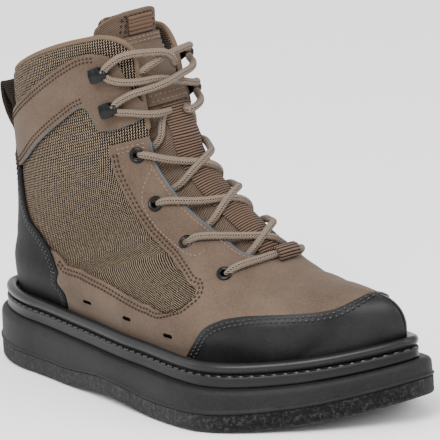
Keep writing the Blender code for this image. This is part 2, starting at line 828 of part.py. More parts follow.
def make_tongue_trim():
    tongue_trim("tongue_tab", ((-0.92, 0.95), (-0.8, 1.0), (-0.45, 1.0), (-0.04, 1.0)),
                TAB_HALF, WEBBING_THICKNESS, webbing)
    tongue_trim("tongue_panel", ((0.0, 0.93), (0.6, 1.0), (1.3, 1.0), (1.97, 1.0)),
                PANEL_HALF, OVERLAY, nubuck)
    levels = (2.03, 2.6, 3.4, 4.1, 4.8, 5.5, 6.2, 6.9, 7.6, 8.2, 8.7)
    tongue_trim("tongue_webbing", [(level, 1.0) for level in levels],
                WEBBING_HALF, WEBBING_THICKNESS, webbing)


def make_insole():
    gap = WALL + 2 * GAP
    heel = UPPER_INSET_HEEL + gap + 0.0015
    toe = UPPER_INSET_TOE + gap
    return stack("insole", (
        (heel + 0.0024, toe + 0.0040, above(deck, GAP)),
        (heel + 0.0010, toe + 0.0034, above(deck, INSOLE_THICKNESS + 0.0020)),
        (heel + 0.0030, toe + 0.0060, above(deck, INSOLE_THICKNESS + 0.0024)),
        (heel + 0.0080, toe + 0.0110, above(deck, INSOLE_THICKNESS)),
    ), foam)

LEATHER_FACE = OVERLAY_GAP + GAP + OVERLAY
STRAP_FACE = OVERLAY_GAP + OVERLAY
# The eyelets: section, arc from the ridge on the outer and on the inner side as shares of the
# throat's half width, how deep the outer and the inner one are pressed into the leather's form.
EYELETS = (
    (2.80, 1.53, 1.45, 0.0000, 0.0000),
    (4.60, 1.73, 1.64, 0.0000, 0.0000),
    (7.08, 1.94, 1.83, 0.0008, 0.0000),
    (9.33, 1.92, 1.84, 0.0000, 0.0000),
)
# The rivets of the lace hooks, in the same columns.
HOOKS = (
    (0.80, 2.37, 2.10),
    (1.65, 2.27, 2.02),
)
# The side view of a hook: how far towards the throat, how high over its seat, half its width,
# as shares of its length.
HOOK_SIDE = (
    (-0.26, 0.04, 0.24),
    (0.26, 0.04, 0.32),
    (0.62, 0.04, 0.24),
    (0.74, 0.12, 0.18),
    (0.79, 0.25, 0.18),
    (0.76, 0.38, 0.18),
    (0.66, 0.45, 0.19),
    (0.44, 0.47, 0.28),
    (0.20, 0.46, 0.32),
    (0.06, 0.50, 0.26),
)
HOOK_THICKNESS = 0.0009
RIVET_RADIUS = 0.0029
RIVET_HEIGHT = 0.0022


def seat(number, around):
    """The point, and the directions outward, to the throat and along it, on the outer form."""
    point, normal = front_frame(number, around)
    if around > 0:
        ahead = wrap_point(number, around - 0.001) - wrap_point(number, around + 0.001)
    else:
        ahead = wrap_point(number, around + 0.001) - wrap_point(number, around - 0.001)
    ahead -= normal * np.dot(ahead, normal)
    ahead /= np.linalg.norm(ahead)
    return point, normal, ahead, np.cross(normal, ahead)


def on_seat(frame, ahead, across, lift):
    point, normal, towards, along = frame
    return point + towards * ahead + along * across + normal * lift


def make_eyelet(name, frame, sunk):
    turns, sides = 10, 4
    tube = (EYELET_DIAMETER - EYELET_HOLE) / 4
    middle = EYELET_DIAMETER / 2 - tube
    vertices = []
    for i in range(turns):
        turn = 2 * math.pi * i / turns
        for k in range(sides):
            roll = 2 * math.pi * k / sides
            radius = middle + tube * math.cos(roll)
            lift = LEATHER_FACE + 2 * GAP - sunk + tube * 0.75 * (1 + math.sin(roll))
            vertices.append(on_seat(frame, radius * math.cos(turn), radius * math.sin(turn), lift))
    faces = []
    for i in range(turns):
        for k in range(sides):
            after = (k + 1) % sides
            ahead = (i + 1) % turns
            faces.append((i * sides + k, i * sides + after, ahead * sides + after, ahead * sides + k))
    return add_mesh(name, vertices, faces, black_metal)


def unite(obj, others):
    """Joins closed bodies into one, and leaves the others in the collection of cutters."""
    for number, other in enumerate(others):
        boot.objects.unlink(other)
        cutters.objects.link(other)
        other.hide_render = True
        other.display_type = "WIRE"
        join = obj.modifiers.new("join_%d" % number, "BOOLEAN")
        join.operation = "UNION"
        join.solver = "EXACT"
        join.object = other
    return obj


def make_hook(name, frame):
    foot = STRAP_FACE + GAP
    grid = []
    for ahead, lift, half in HOOK_SIDE:
        grid.append([on_seat(frame, ahead * HOOK_LENGTH, side * half * HOOK_LENGTH,
                             foot + lift * HOOK_LENGTH) for side in (-1, 1)])
    blade = strip(name, grid, black_metal)
    solidify(blade, HOOK_THICKNESS, 0)
    turns = 6
    vertices = []
    for radius, lift in ((0.95, 0.02), (1.0, 0.45), (0.62, 0.92), (0.0, 1.0)):
        for i in range(turns):
            turn = 2 * math.pi * (i + 0.5) / turns
            vertices.append(on_seat(frame, radius * RIVET_RADIUS * math.cos(turn),
                                    radius * RIVET_RADIUS * math.sin(turn), foot + lift * RIVET_HEIGHT))
    faces = [tuple(range(turns))]
    for level in range(3):
        for i in range(turns):
            after = (i + 1) % turns
            faces.append((level * turns + i, level * turns + after,
                          (level + 1) * turns + after, (level + 1) * turns + i))
    rivet = add_mesh(name + "_rivet", vertices, faces, black_metal)
    return unite(blade, [rivet])


def make_hardware():
    for label, side in (("outer", -1), ("inner", 1)):
        for number, row in enumerate(EYELETS):
            frame = seat(row[0], side * row[1 if side < 0 else 2] * THROAT_OUTER)
            sunk = row[3 if side < 0 else 4]
            make_eyelet("eyelet_%s_%d" % (label, number + 1), frame, sunk)
        for number, row in enumerate(HOOKS):
            frame = seat(row[0], side * row[1 if side < 0 else 2] * THROAT_OUTER)
            make_hook("hook_%s_%d" % (label, number + 1), frame)


# The pull loop's course: section on the back line, how far behind the shaft, in loop thicknesses.
LOOP = (
    (1.02, 2.10),
    (0.86, 2.60),
    (0.68, 4.20),
    (0.50, 5.60),
    (0.38, 6.45),
    (0.35, 7.20),
    (0.44, 7.55),
    (0.70, 7.30),
    (1.00, 6.20),
    (1.25, 4.55),
    (1.45, 2.70),
    (1.58, 2.05),
)


def rear_point(number, around):
    """The point at an arc length around from the back line, to the inner side where positive."""
    curve = section_curve(number, 1 if around > 0 else -1)
    length = np.concatenate([[0], np.cumsum(np.linalg.norm(np.diff(curve, axis=0), axis=1))])
    return np.array([np.interp(abs(around), length, curve[:, k]) for k in range(3)])


def make_pull_loop():
    shares = (-0.5, -0.17, 0.17, 0.5)
    grid = [[rear_point(number, share * LOOP_WIDTH) - np.array([behind * LOOP_THICKNESS, 0, 0])
             for share in shares] for number, behind in LOOP]
    obj = strip("pull_loop", grid, loop_webbing)
    solidify(obj, LOOP_THICKNESS, 0)
    return obj


# The keeper's course over the lowest bar: section, height over the outer form in lace diameters.
KEEPER = (
    (9.04, 0.80),
    (9.07, 1.40),
    (9.18, 1.88),
    (9.33, 2.02),
    (9.48, 1.88),
    (9.60, 1.40),
    (9.64, 0.92),
)
KEEPER_HALF = 0.0075


def make_keeper():
    grid = []
    for number, lift in KEEPER:
        row = []
        for share in (-1.0, 0.0, 1.0):
            point, normal = front_frame(number, TONGUE_MIDDLE + share * KEEPER_HALF)
            row.append(point + normal * lift * LACE_DIAMETER)
        grid.append(row)
    obj = strip("lace_keeper", grid, webbing)
    solidify(obj, WEBBING_THICKNESS, 0)
    return obj


LACE_CLEARANCE = 0.0007
# The strands of the lace: section and arc from the ridge in throat half widths at each end,
# and how much higher the strand runs where it crosses another, in lace diameters.
LACE_BAR = (9.33, -1.62, 9.33, 1.56, 0.0)
LACE_CROSSINGS = (
    ((7.15, -1.64, 8.85, 0.72, 0.0), (8.65, -0.74, 7.10, 1.56, 0.7)),
    ((4.62, -1.46, 6.60, 0.92, 0.0), (6.30, -0.82, 4.62, 1.40, 0.7)),
    ((2.85, -1.28, 4.45, 0.92, 0.0), (4.15, -0.82, 2.90, 1.22, 0.7)),
)


def rest_height(number, around):
    """How high over the outer form a strand's middle lies to clear what is under it."""
    base, normal = front_frame(number, around)
    beside = abs(around) / throat_half(number, around) if number < THROAT_END - 0.05 else 2.0
    if beside > 1.25:
        under = LEATHER_FACE
    else:
        face = tongue_face(number, around - TONGUE_MIDDLE, TRIM_LIFT + WEBBING_THICKNESS)
        over_tongue = float(np.dot(face - base, normal))
        under = over_tongue if beside < 0.8 else max(LEATHER_FACE, over_tongue)
    return under + LACE_CLEARANCE + LACE_DIAMETER / 2


def strand(ends):
    """Points of a strand from the outer to the inner side."""
    first, start, last, end, raised = ends
    points = []
    shares = np.linspace(0, 1, 8)
    lifts = []
    for share in shares:
        number = first + (last - first) * share
        around = (start + (end - start) * share) * THROAT_OUTER
        lifts.append(rest_height(number, around))
    lifts = np.array(lifts)
    for _ in range(2):
        lifts = np.maximum(lifts, np.convolve(np.pad(lifts, 1, mode="edge"), [0.25, 0.5, 0.25], "valid"))
    for share, lift in zip(shares, lifts):
        number = first + (last - first) * share
        around = (start + (end - start) * share) * THROAT_OUTER
        point, normal = front_frame(number, around)
        crossing = max(0.0, 1 - abs(share - 0.5) / 0.3)
        crossing = crossing * crossing * (3 - 2 * crossing)
        points.append(point + normal * (lift + raised * crossing * LACE_DIAMETER))
    return points


def cord(name, points, finish, twist=0.0):
    """A round tube through points, with five sides and flat ends."""
    sides = 5
    points = [np.array(point) for point in points]
    vertices = []
    aside = None
    for i, point in enumerate(points):
        ahead = points[min(i + 1, len(points) - 1)] - points[max(i - 1, 0)]
        ahead /= np.linalg.norm(ahead)
        if aside is None:
            aside = np.cross(ahead, [0, 0, 1])
        aside = aside - ahead * np.dot(aside, ahead)
        aside /= np.linalg.norm(aside)
        up = np.cross(ahead, aside)
        for k in range(sides):
            turn = 2 * math.pi * (k + twist) / sides
            vertices.append(point + (aside * math.cos(turn) + up * math.sin(turn)) * LACE_DIAMETER / 2)
    faces = []
    for i in range(len(points) - 1):
        for k in range(sides):
            after = (k + 1) % sides
            base = i * sides
            faces.append((base + k, base + after, base + sides + after))
            faces.append((base + k, base + sides + after, base + sides + k))
    faces.append(tuple(range(sides)))
    last = (len(points) - 1) * sides
    faces.append(tuple(last + k for k in reversed(range(sides))))
    return add_mesh(name, vertices, faces, finish)


# Where a strand runs round a hook, from its lower to its upper side: towards the throat, along
# it, as shares of the hook's length.
HOOK_TURN = (
    (1.00, -0.44),
    (0.74, -0.39),
    (0.585, -0.25),
    (0.54, 0.00),
    (0.585, 0.25),
    (0.74, 0.39),
    (1.00, 0.44),
)
HOOK_LACE_LIFT = 0.0036
EDGE_OUTER = 1.16
EDGE_INNER = 1.34


def hook_turn(row, side):
    """The points of the lace round one hook."""
    frame = seat(row[0], side * row[1 if side < 0 else 2] * THROAT_OUTER)
    up = 1 if frame[3][2] > 0 else -1
    lift = STRAP_FACE + GAP + HOOK_LACE_LIFT
    return [on_seat(frame, ahead * HOOK_LENGTH, up * along * HOOK_LENGTH, lift)
            for ahead, along in HOOK_TURN]


# The lace's ends over the tongue at the hooks: tongue level, arc from the tongue's middle in
# throat half widths, height over the tongue's trim in lace diameters.
TOP_STRANDS = (
    (-1, ((1.95, -0.70, 1.3),), ((1.38, -0.50, 0.6), (1.24, 0.00, 0.2), (1.10, 0.60, 0.7)),
     ((0.52, 0.60, 1.3), (0.62, 0.00, 0.9), (0.80, -0.50, 0.9)), (1.92, 1.42, 1.02, 0.52)),
    (1, ((1.95, 0.76, 1.3),), ((1.36, 0.62, 1.3), (1.20, 0.00, 0.9), (1.00, -0.50, 1.1)),
     ((0.36, -0.50, 1.1), (0.42, 0.00, 0.2), (0.60, 0.56, 0.5)), (1.92, 1.42, 1.02, 0.52)),
)


def over_tongue(rows):
    points = []
    for level, share, raised in rows:
        lift = TRIM_LIFT + WEBBING_THICKNESS + LACE_CLEARANCE + LACE_DIAMETER * (0.5 + raised)
        points.append(tongue_face(level, share * THROAT_OUTER, lift))
    return points


def at_edge(number, side, raised=0.4):
    """A point of the lace over the strap, beside the throat's edge."""
    share = EDGE_OUTER if side < 0 else EDGE_INNER
    point, normal = front_frame(number, side * share * THROAT_OUTER)
    return point + normal * (STRAP_FACE + LACE_CLEARANCE + LACE_DIAMETER * (0.5 + raised))


def top_strand(side, below, between, above_hooks, edges):
    """One end of the lace: round the lower hook, across, round the upper hook and across again."""
    points = over_tongue(below)
    points.append(at_edge(edges[0], side))
    points += hook_turn(HOOKS[1], side)
    points.append(at_edge(edges[1], side))
    points += over_tongue(between)
    points.append(at_edge(edges[2], -side))
    points += hook_turn(HOOKS[0], -side)
    points.append(at_edge(edges[3], -side))
    points += over_tongue(above_hooks)
    return points


def make_lace():
    cord("lace_bar", strand(LACE_BAR), lace_rope)
    for number, (under, over) in enumerate(LACE_CROSSINGS):
        low = cord("lace_crossing_%d" % (number + 1), strand(under), lace_rope)
        unite(low, [cord("strand_%d" % (number + 1), strand(over), lace_rope, 0.37)])
    low = cord("lace_at_hooks", top_strand(*TOP_STRANDS[0]), lace_rope)
    unite(low, [cord("strand_at_hooks", top_strand(*TOP_STRANDS[1]), lace_rope, 0.37)])

def start():
    for obj in list(bpy.data.objects):
        bpy.data.objects.remove(obj)
    for made in list(bpy.data.collections):
        bpy.data.collections.remove(made)


start()
boot = bpy.data.collections.new("wading_boot")
bpy.context.scene.collection.children.link(boot)
cutters = bpy.data.collections.new("cutters")
bpy.context.scene.collection.children.link(cutters)
stand = bpy.data.objects.new("boot_origin", None)
boot.objects.link(stand)

nubuck = material("nubuck", (0.24, 0.17, 0.125), 0.85)
black_leather = material("black_leather", (0.02, 0.02, 0.02), 0.55)
tongue_cloth = material("tongue_cloth", (0.16, 0.12, 0.09), 0.9)
webbing = material("webbing", (0.25, 0.18, 0.13), 0.9)
felt = material("felt", (0.045, 0.044, 0.043), 0.95)
slab = material("slab", (0.06, 0.058, 0.056), 0.8)
rubber = material("rubber", (0.05, 0.048, 0.046), 0.6)
foam = material("insole_foam", (0.05, 0.05, 0.05), 0.9)
mesh_cloth = material("mesh_cloth", (0.23, 0.19, 0.15), 0.8)
loop_webbing = material("loop_webbing", (0.07, 0.05, 0.035), 0.9)
black_metal = material("black_metal", (0.015, 0.015, 0.015), 0.25)
lace_rope = material("lace_rope", (0.38, 0.29, 0.22), 0.9)

FEATHER = outline(UPPER_INSET_HEEL, UPPER_INSET_TOE, DENSE)

make_felt()
make_midsole()
make_rand()
make_welt()
make_upper()
make_insole()
make_counter()
make_toe_cap()
make_leather()
make_strap()
make_tongue()
make_tongue_trim()
make_hardware()
make_pull_loop()
make_keeper()
make_lace()
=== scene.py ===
"""The looks of the right wading boot: finely modelled pieces, stitching, laces and finishes.

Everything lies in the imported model's frame: metres, +X to the toe, +Y to the inner side, +Z up.
The forms repeat the functions and tables that the boot's solids are made from, at finer steps.
The mesh panel's edge and the top of the lace follow the photograph more closely than the solids.
"""

import math

import bmesh
import bpy
import numpy as np
from mathutils import Matrix, Vector


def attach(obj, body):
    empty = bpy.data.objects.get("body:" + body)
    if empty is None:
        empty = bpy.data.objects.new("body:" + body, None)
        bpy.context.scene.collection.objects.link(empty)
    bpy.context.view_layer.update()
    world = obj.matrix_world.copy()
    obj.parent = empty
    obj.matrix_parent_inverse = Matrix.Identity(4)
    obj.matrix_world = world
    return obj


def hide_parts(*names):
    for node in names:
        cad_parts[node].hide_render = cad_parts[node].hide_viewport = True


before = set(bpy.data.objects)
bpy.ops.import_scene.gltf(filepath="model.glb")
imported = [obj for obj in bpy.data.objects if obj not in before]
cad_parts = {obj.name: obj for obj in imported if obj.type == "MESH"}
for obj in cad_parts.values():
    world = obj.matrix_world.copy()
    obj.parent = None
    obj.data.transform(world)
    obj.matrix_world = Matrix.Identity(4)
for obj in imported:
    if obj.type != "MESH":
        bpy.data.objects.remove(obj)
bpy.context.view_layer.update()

# Driving dimensions
SOLE_LENGTH = 0.325
BALL_WIDTH = 0.130
HEEL_BACK = -0.062
COLLAR_HEIGHT = 0.212
TOE_SPRING = 0.0165
ARCH_RISE = 0.0035
HEEL_BEVEL = 0.002
FELT_THICKNESS = 0.010
SLAB_TOP_HEEL = 0.031
SLAB_TOP_TOE = 0.022
RAND_HEIGHT = 0.0072
INSOLE_THICKNESS = 0.0055
WALL = 0.0026
COLLAR_PADDING = 0.0085
COLLAR_BOW = 0.006
OVERLAY = 0.0014
COUNTER_THICKNESS = 0.0018
WELT_DIAMETER = 0.0066
THROAT_OUTER = 0.0195
THROAT_INNER = 0.0235
TONGUE_THICKNESS = 0.007
TONGUE_WIDTH = 0.062
LACE_DIAMETER = 0.0042
EYELET_DIAMETER = 0.009
EYELET_HOLE = 0.0046
HOOK_LENGTH = 0.0135
LOOP_WIDTH = 0.025
LOOP_THICKNESS = 0.0018
GAP = 0.0003
OVERLAY_GAP = 0.0008
# The outline of the sole: station along the length, then its centre and its half width
# as shares of the ball width.
OUTLINE = (
    (0.00, 0.000, 0.208),
    (0.15, 0.008, 0.285),
    (0.32, -0.031, 0.346),
    (0.50, -0.069, 0.419),
    (0.68, -0.069, 0.496),
    (0.85, 0.046, 0.419),
    (1.00, 0.108, 0.254),
)
HEEL_ROUND = 0.16
HEEL_POWER = 2.2
TOE_ROUND = 0.28
TOE_POWER = 2.3
ROUND_STEPS = 22
DENSE = 180
# Where the sole leaves the floor, as shares of its length.
ARCH_START = 0.27
ARCH_END = 0.58
SPRING_START = 0.715
BEVEL_END = 0.08
# How far the welt's outer edge lies inside the outline, at the heel and at the toe.
WELT_INSET_HEEL = 0.0050
WELT_INSET_TOE = 0.0082


def ease(rows, column):
    """A smooth curve through one column of a table, against its first column."""
    xs = np.array([row[0] for row in rows], float)
    ys = np.array([row[column] for row in rows], float)
    steps = np.diff(xs)
    slopes = np.diff(ys) / steps
    tangents = np.zeros(len(xs))
    tangents[0] = slopes[0]
    tangents[-1] = slopes[-1]
    for i in range(1, len(xs) - 1):
        if slopes[i - 1] * slopes[i] > 0:
            before = 2 * steps[i] + steps[i - 1]
            after = steps[i] + 2 * steps[i - 1]
            tangents[i] = (before + after) / (before / slopes[i - 1] + after / slopes[i])

    def value(x):
        x = np.clip(np.asarray(x, float), xs[0], xs[-1])
        i = np.clip(np.searchsorted(xs, x) - 1, 0, len(xs) - 2)
        h = steps[i]
        t = (x - xs[i]) / h
        return ((1 + 2 * t) * (1 - t) ** 2 * ys[i] + t * (1 - t) ** 2 * h * tangents[i]
                + t * t * (3 - 2 * t) * ys[i + 1] + t * t * (t - 1) * h * tangents[i + 1])

    return value


def run_lengths(points):
    """The length along a course up to each of its points."""
    return np.concatenate([[0], np.cumsum(np.linalg.norm(np.diff(points, axis=0), axis=1))])


def points_at(at, lengths, points):
    """The points of a course at lengths along it, or one point at a single length."""
    return np.stack([np.interp(at, lengths, points[:, k]) for k in range(points.shape[1])], -1)


outline_centre = ease(OUTLINE, 1)
outline_half = ease(OUTLINE, 2)


def share_of(x):
    """Where x lies along the sole, 0 at the heel's back and 1 at the toe."""
    return (np.asarray(x, float) - HEEL_BACK) / SOLE_LENGTH


def x_at(share):
    """The place along the sole at a share of its length."""
    return HEEL_BACK + share * SOLE_LENGTH


def rounding(share):
    """How much of its half width the outline keeps near the two round ends."""
    share = np.clip(share, 0, 1)
    heel = np.clip((HEEL_ROUND - share) / HEEL_ROUND, 0, 1)
    toe = np.clip((share - 1 + TOE_ROUND) / TOE_ROUND, 0, 1)
    heel_part = (1 - heel ** HEEL_POWER) ** (1 / HEEL_POWER)
    toe_part = (1 - toe ** TOE_POWER) ** (1 / TOE_POWER)
    return heel_part * toe_part


def forward_part(edge):
    """An edge of the plan without the points that turn back near its two ends."""
    kept = (edge[:, 0] > edge[0, 0] + 2e-5) & (edge[:, 0] < edge[-1, 0] - 2e-5)
    kept[0] = kept[-1] = True
    return edge[kept]


def cosine_steps(steps):
    """Shares from 0 to 1, closest at both ends."""
    return (1 - np.cos(np.linspace(0, math.pi, steps + 1))) / 2


def outline(inset_heel, inset_toe, steps=ROUND_STEPS):
    """Outer (lateral) and inner (medial) edge points from heel to toe, moved inward by an inset."""
    share = cosine_steps(DENSE)
    half = outline_half(share) * rounding(share) * BALL_WIDTH
    centre = outline_centre(share) * BALL_WIDTH
    x = x_at(share)
    lateral = np.stack([x, centre - half], 1)
    medial = np.stack([x, centre + half], 1)
    ring = np.concatenate([lateral, medial[-2:0:-1]])
    along = np.roll(ring, -1, 0) - np.roll(ring, 1, 0)
    along /= np.linalg.norm(along, axis=1)[:, None]
    outward = np.stack([along[:, 1], -along[:, 0]], 1)
    inset = inset_heel + (inset_toe - inset_heel) * share_of(ring[:, 0])
    ring = ring - outward * inset[:, None]
    lateral = forward_part(ring[:DENSE + 1])
    medial = forward_part(np.concatenate([ring[:1], ring[:DENSE - 1:-1]]))
    x = ring[0, 0] + (ring[DENSE, 0] - ring[0, 0]) * cosine_steps(steps)
    return tuple(np.stack([x, np.interp(x, edge[:, 0], edge[:, 1])], 1)
                 for edge in (lateral, medial))


def spring(x):
    """How far the toe lifts off the floor."""
    start = x_at(SPRING_START)
    lift = np.clip((np.asarray(x, float) - start) / (x_at(1) - start), 0, 1)
    return TOE_SPRING * lift ** 2


def ground(x):
    """The underside of the sole: flat heel, arch, flat forefoot, toe spring."""
    share = share_of(x)
    arch = np.clip((share - ARCH_START) / (ARCH_END - ARCH_START), 0, 1)
    bevel = np.clip((BEVEL_END - share) / BEVEL_END, 0, 1)
    return spring(x) + ARCH_RISE * np.sin(math.pi * arch) ** 2 + HEEL_BEVEL * bevel ** 2


def slab_top(x):
    """The slab's top, lower at the toe."""
    return SLAB_TOP_HEEL + (SLAB_TOP_TOE - SLAB_TOP_HEEL) * share_of(x) + spring(x)


def deck(x):
    """The top of the rand, on which the upper and the insole stand."""
    return slab_top(x) + RAND_HEIGHT


def felt_top(x):
    return ground(x) + FELT_THICKNESS


def above(base, lift):
    """A height function a fixed lift over another one."""
    return lambda x: base(x) + lift


# The room that the overlays take on the upper's outer face, beside the welt.
SKIN = OVERLAY_GAP + COUNTER_THICKNESS + 2 * GAP
UPPER_INSET_HEEL = WELT_INSET_HEEL + WELT_DIAMETER + GAP + SKIN
UPPER_INSET_TOE = WELT_INSET_TOE + WELT_DIAMETER + GAP + SKIN
UPPER_LIFT = 0.0015
# The upper's sections. Each lies in a plane across the boot, from a low point on the back line
# or on the deck to a top point on the instep line. Columns: section number, low point's station,
# its height (0 where it stands on the deck), top point's station, its height, greatest width to
# the outer and to the inner side, where that width lies between low and top, roundness at the
# back, roundness of the outer and of the inner shoulder, and the ridge's shift to the inner side.
# Stations are shares of the sole's length, heights of the collar's, widths of the ball's width.
SECTIONS = (
    (0, 0.0850, 0.814, 0.4420, 1.000, 0.276, 0.254, 0.50, 2.2, 3.6, 2.3, 0.000),
    (1, 0.0850, 0.706, 0.4560, 0.887, 0.272, 0.250, 0.50, 2.2, 3.4, 2.4, 0.000),
    (2, 0.0860, 0.590, 0.4720, 0.778, 0.267, 0.242, 0.50, 2.2, 3.2, 2.7, 0.000),
    (3, 0.0830, 0.472, 0.4860, 0.665, 0.263, 0.234, 0.48, 2.2, 3.3, 3.0, 0.000),
    (4, 0.0760, 0.368, 0.5170, 0.596, 0.267, 0.242, 0.46, 2.3, 4.0, 3.5, 0.000),
    (5, 0.0590, 0.270, 0.5530, 0.545, 0.276, 0.250, 0.45, 2.6, 4.6, 4.0, 0.000),
    (6, 0.0455, 0.185, 0.5870, 0.510, 0.292, 0.250, 0.48, 3.2, 4.8, 4.2, 0.000),
    (7, 0.0680, 0.000, 0.6220, 0.479, 0.311, 0.250, 0.52, 3.2, 4.6, 4.0, 0.000),
    (8, 0.1600, 0.000, 0.6570, 0.448, 0.342, 0.250, 0.55, 3.2, 4.2, 3.6, 0.000),
    (9, 0.3000, 0.000, 0.6920, 0.416, 0.373, 0.257, 0.55, 3.2, 3.6, 3.0, 0.000),
    (10, 0.4520, 0.000, 0.7330, 0.382, 0.411, 0.288, 0.45, 3.2, 2.9, 2.4, 0.000),
    (11, 0.6060, 0.000, 0.7820, 0.356, 0.438, 0.311, 0.30, 3.2, 2.4, 2.2, 0.015),
    (12, 0.7290, 0.000, 0.8350, 0.342, 0.418, 0.326, 0.20, 3.2, 2.3, 2.2, 0.031),
    (13, 0.8000, 0.000, 0.8820, 0.338, 0.336, 0.322, 0.15, 3.2, 2.3, 2.3, 0.046),
    (14, 0.8000, 0.000, 0.9230, 0.336, 0.330, 0.316, 0.12, 3.2, 2.3, 2.3, 0.058),
    (15, 0.8000, 0.000, 0.9500, 0.314, 0.328, 0.314, 0.10, 3.2, 2.3, 2.3, 0.069),
    (16, 0.8000, 0.000, 0.9590, 0.262, 0.328, 0.314, 0.08, 3.2, 2.3, 2.3, 0.085),
    (17, 0.8000, 0.000, 0.9450, 0.216, 0.328, 0.314, 0.08, 3.2, 2.3, 2.3, 0.098),
    (18, 0.8000, 0.000, 0.9440, 0.197, 0.328, 0.314, 0.08, 3.2, 2.3, 2.3, 0.108),
)
HEEL_SECTION = 6
PIVOT = 13
LAST = SECTIONS[-1][0]
THROAT_END = 9.35
FOOT_HEIGHT = 0.032
# The upper's foot takes at most this share of a low section's height.
FOOT_SHARE = 0.75
FAN_POWER = 1.6
# The last section that the collar's bow reaches.
BOW_END = 3
section_columns = [ease(SECTIONS, k) for k in range(1, len(SECTIONS[0]))]


def feather(x, side):
    """Where the upper's outer face meets the deck at x, on side -1 (outer) or +1 (inner)."""
    edge = FEATHER[0] if side < 0 else FEATHER[1]
    return np.interp(x, edge[:, 0], edge[:, 1])


def back_line(z):
    """How far back the upper reaches at a height."""
    rows = SECTIONS[HEEL_SECTION::-1]
    heights = [row[2] * COLLAR_HEIGHT for row in rows]
    heights[0] = float(deck(x_at(rows[0][1])))
    return np.interp(z, heights, [x_at(row[1]) for row in rows])


def front_line(z):
    """How far forward the toe reaches at a height."""
    rows = SECTIONS[LAST:PIVOT - 1:-1]
    heights = [row[4] * COLLAR_HEIGHT for row in rows]
    heights[0] = float(deck(FEATHER[0][-1, 0])) + UPPER_LIFT
    stations = [x_at(row[3]) for row in rows]
    stations[0] = FEATHER[0][-1, 0]
    return np.interp(z, heights, stations)


def toe_form(x, z, t, ridge, power, side):
    """The toe box: the plan of the deck carried up, drawn in towards the ridge line."""
    pivot = x_at(SECTIONS[PIVOT][1])
    end = FEATHER[0][-1, 0]
    front = front_line(z) + (x[-1] - front_line(z[-1])) * t
    plan = pivot + (x - pivot) * (end - pivot) / (front - pivot)
    plan = np.where(x < pivot, x, plan)
    centre = (feather(plan, -1) + feather(plan, 1)) / 2
    half = (feather(plan, 1) - feather(plan, -1)) / 2
    floor = deck(x) + UPPER_LIFT
    top = max(SECTIONS[PIVOT][4] * COLLAR_HEIGHT, z[-1])
    height = np.clip((z - floor) / (top - floor), 0, 1)
    middle = centre + (ridge - centre) * height ** 2
    return middle + side * half * (1 - height ** power) ** 0.5


def section_curve(number, side):
    """One side of a section, from its low end to the ridge, as dense points."""
    (low_share, low_height, top_share, top_height, outer, inner, widest, back_power,
     outer_power, inner_power, shift) = [float(column(number)) for column in section_columns]
    low_x = x_at(low_share)
    floor_z = float(deck(low_x)) + UPPER_LIFT
    low_z = floor_z if number >= HEEL_SECTION else max(floor_z, low_height * COLLAR_HEIGHT)
    top_x = x_at(top_share)
    if number > LAST - 1:
        top_x += (FEATHER[0][-1, 0] - x_at(SECTIONS[-1][3])) * (number - LAST + 1)
    top_floor = float(deck(top_x)) + UPPER_LIFT
    top_z = max(top_height * COLLAR_HEIGHT, top_floor)
    ridge = shift * BALL_WIDTH
    power = outer_power if side < 0 else inner_power
    width = (outer if side < 0 else inner) * BALL_WIDTH + (ridge if side < 0 else -ridge)
    t = cosine_steps(DENSE)
    x = low_x + (top_x - low_x) * t
    z = low_z + (top_z - low_z) * t
    fan = np.clip((number - PIVOT) / (LAST - PIVOT), 0, 1) ** FAN_POWER
    z = z + fan * (deck(x) + UPPER_LIFT - floor_z - (top_floor - floor_z) * t)
    middle = low_x + (top_x - low_x) * widest
    back = back_line(z) + (low_x - back_line(low_z) if number < HEEL_SECTION else 0.0)
    rear = np.clip((middle - x) / (middle - back), 0, 1)
    over = np.clip((t - widest) / (1 - widest), 0, 1)
    dome = (1 - over ** power) ** 0.5
    body = width * (1 - rear ** back_power) ** 0.5 * dome
    end = FEATHER[0][0, 0]
    foot_x = np.where(x < middle, middle - rear * (middle - end), x)
    foot = np.abs(feather(foot_x, side) - ridge)
    reach = max(1e-4, min(FOOT_HEIGHT, FOOT_SHARE * (top_z - top_floor)))
    rise = np.clip((z - deck(x) - UPPER_LIFT) / reach, 0, 1)
    blend = rise * rise * (3 - 2 * rise)
    y = ridge + side * (foot + (body - foot) * blend)
    toe = np.clip((number - PIVOT + 1) / 2, 0, 1)
    if toe > 0:
        y = y + toe * (toe_form(x, z, t, ridge, power, side) - y)
    bow = COLLAR_BOW * max(0.0, 1 - number / BOW_END)
    z = z + bow * np.sin(math.pi * t)
    return np.stack([x, y, z], 1)


def collar_side(side):
    """The collar's width on one side of the ridge."""
    outer, inner, shift = [float(section_columns[k](0.0)) for k in (4, 5, 10)]
    return (outer + shift if side < 0 else inner - shift) * BALL_WIDTH


# How far the throat's edge turns out at the collar: a share of the collar's side beside it.
COLLAR_CORNER_OUTER = 0.6105
COLLAR_CORNER_INNER = 0.8403
# The section that the turned-out edge reaches, and how many sections the throat's round end takes.
CORNER_END_OUTER = 0.6
CORNER_END_INNER = 1.0
THROAT_ROUND = 1.1


def throat_half(number, side):
    """Half the throat's width at a section: rounded at the collar, round at its lower end."""
    if number >= THROAT_END:
        return 0.0
    half = THROAT_OUTER if side < 0 else THROAT_INNER
    corner = COLLAR_CORNER_OUTER if side < 0 else COLLAR_CORNER_INNER
    depth = CORNER_END_OUTER if side < 0 else CORNER_END_INNER
    flare = corner * (collar_side(side) - half) * max(0.0, 1 - number / depth) ** 2
    end = min(1.0, (THROAT_END - number) / THROAT_ROUND)
    return half * math.sqrt(1 - (1 - end) ** 2) + flare


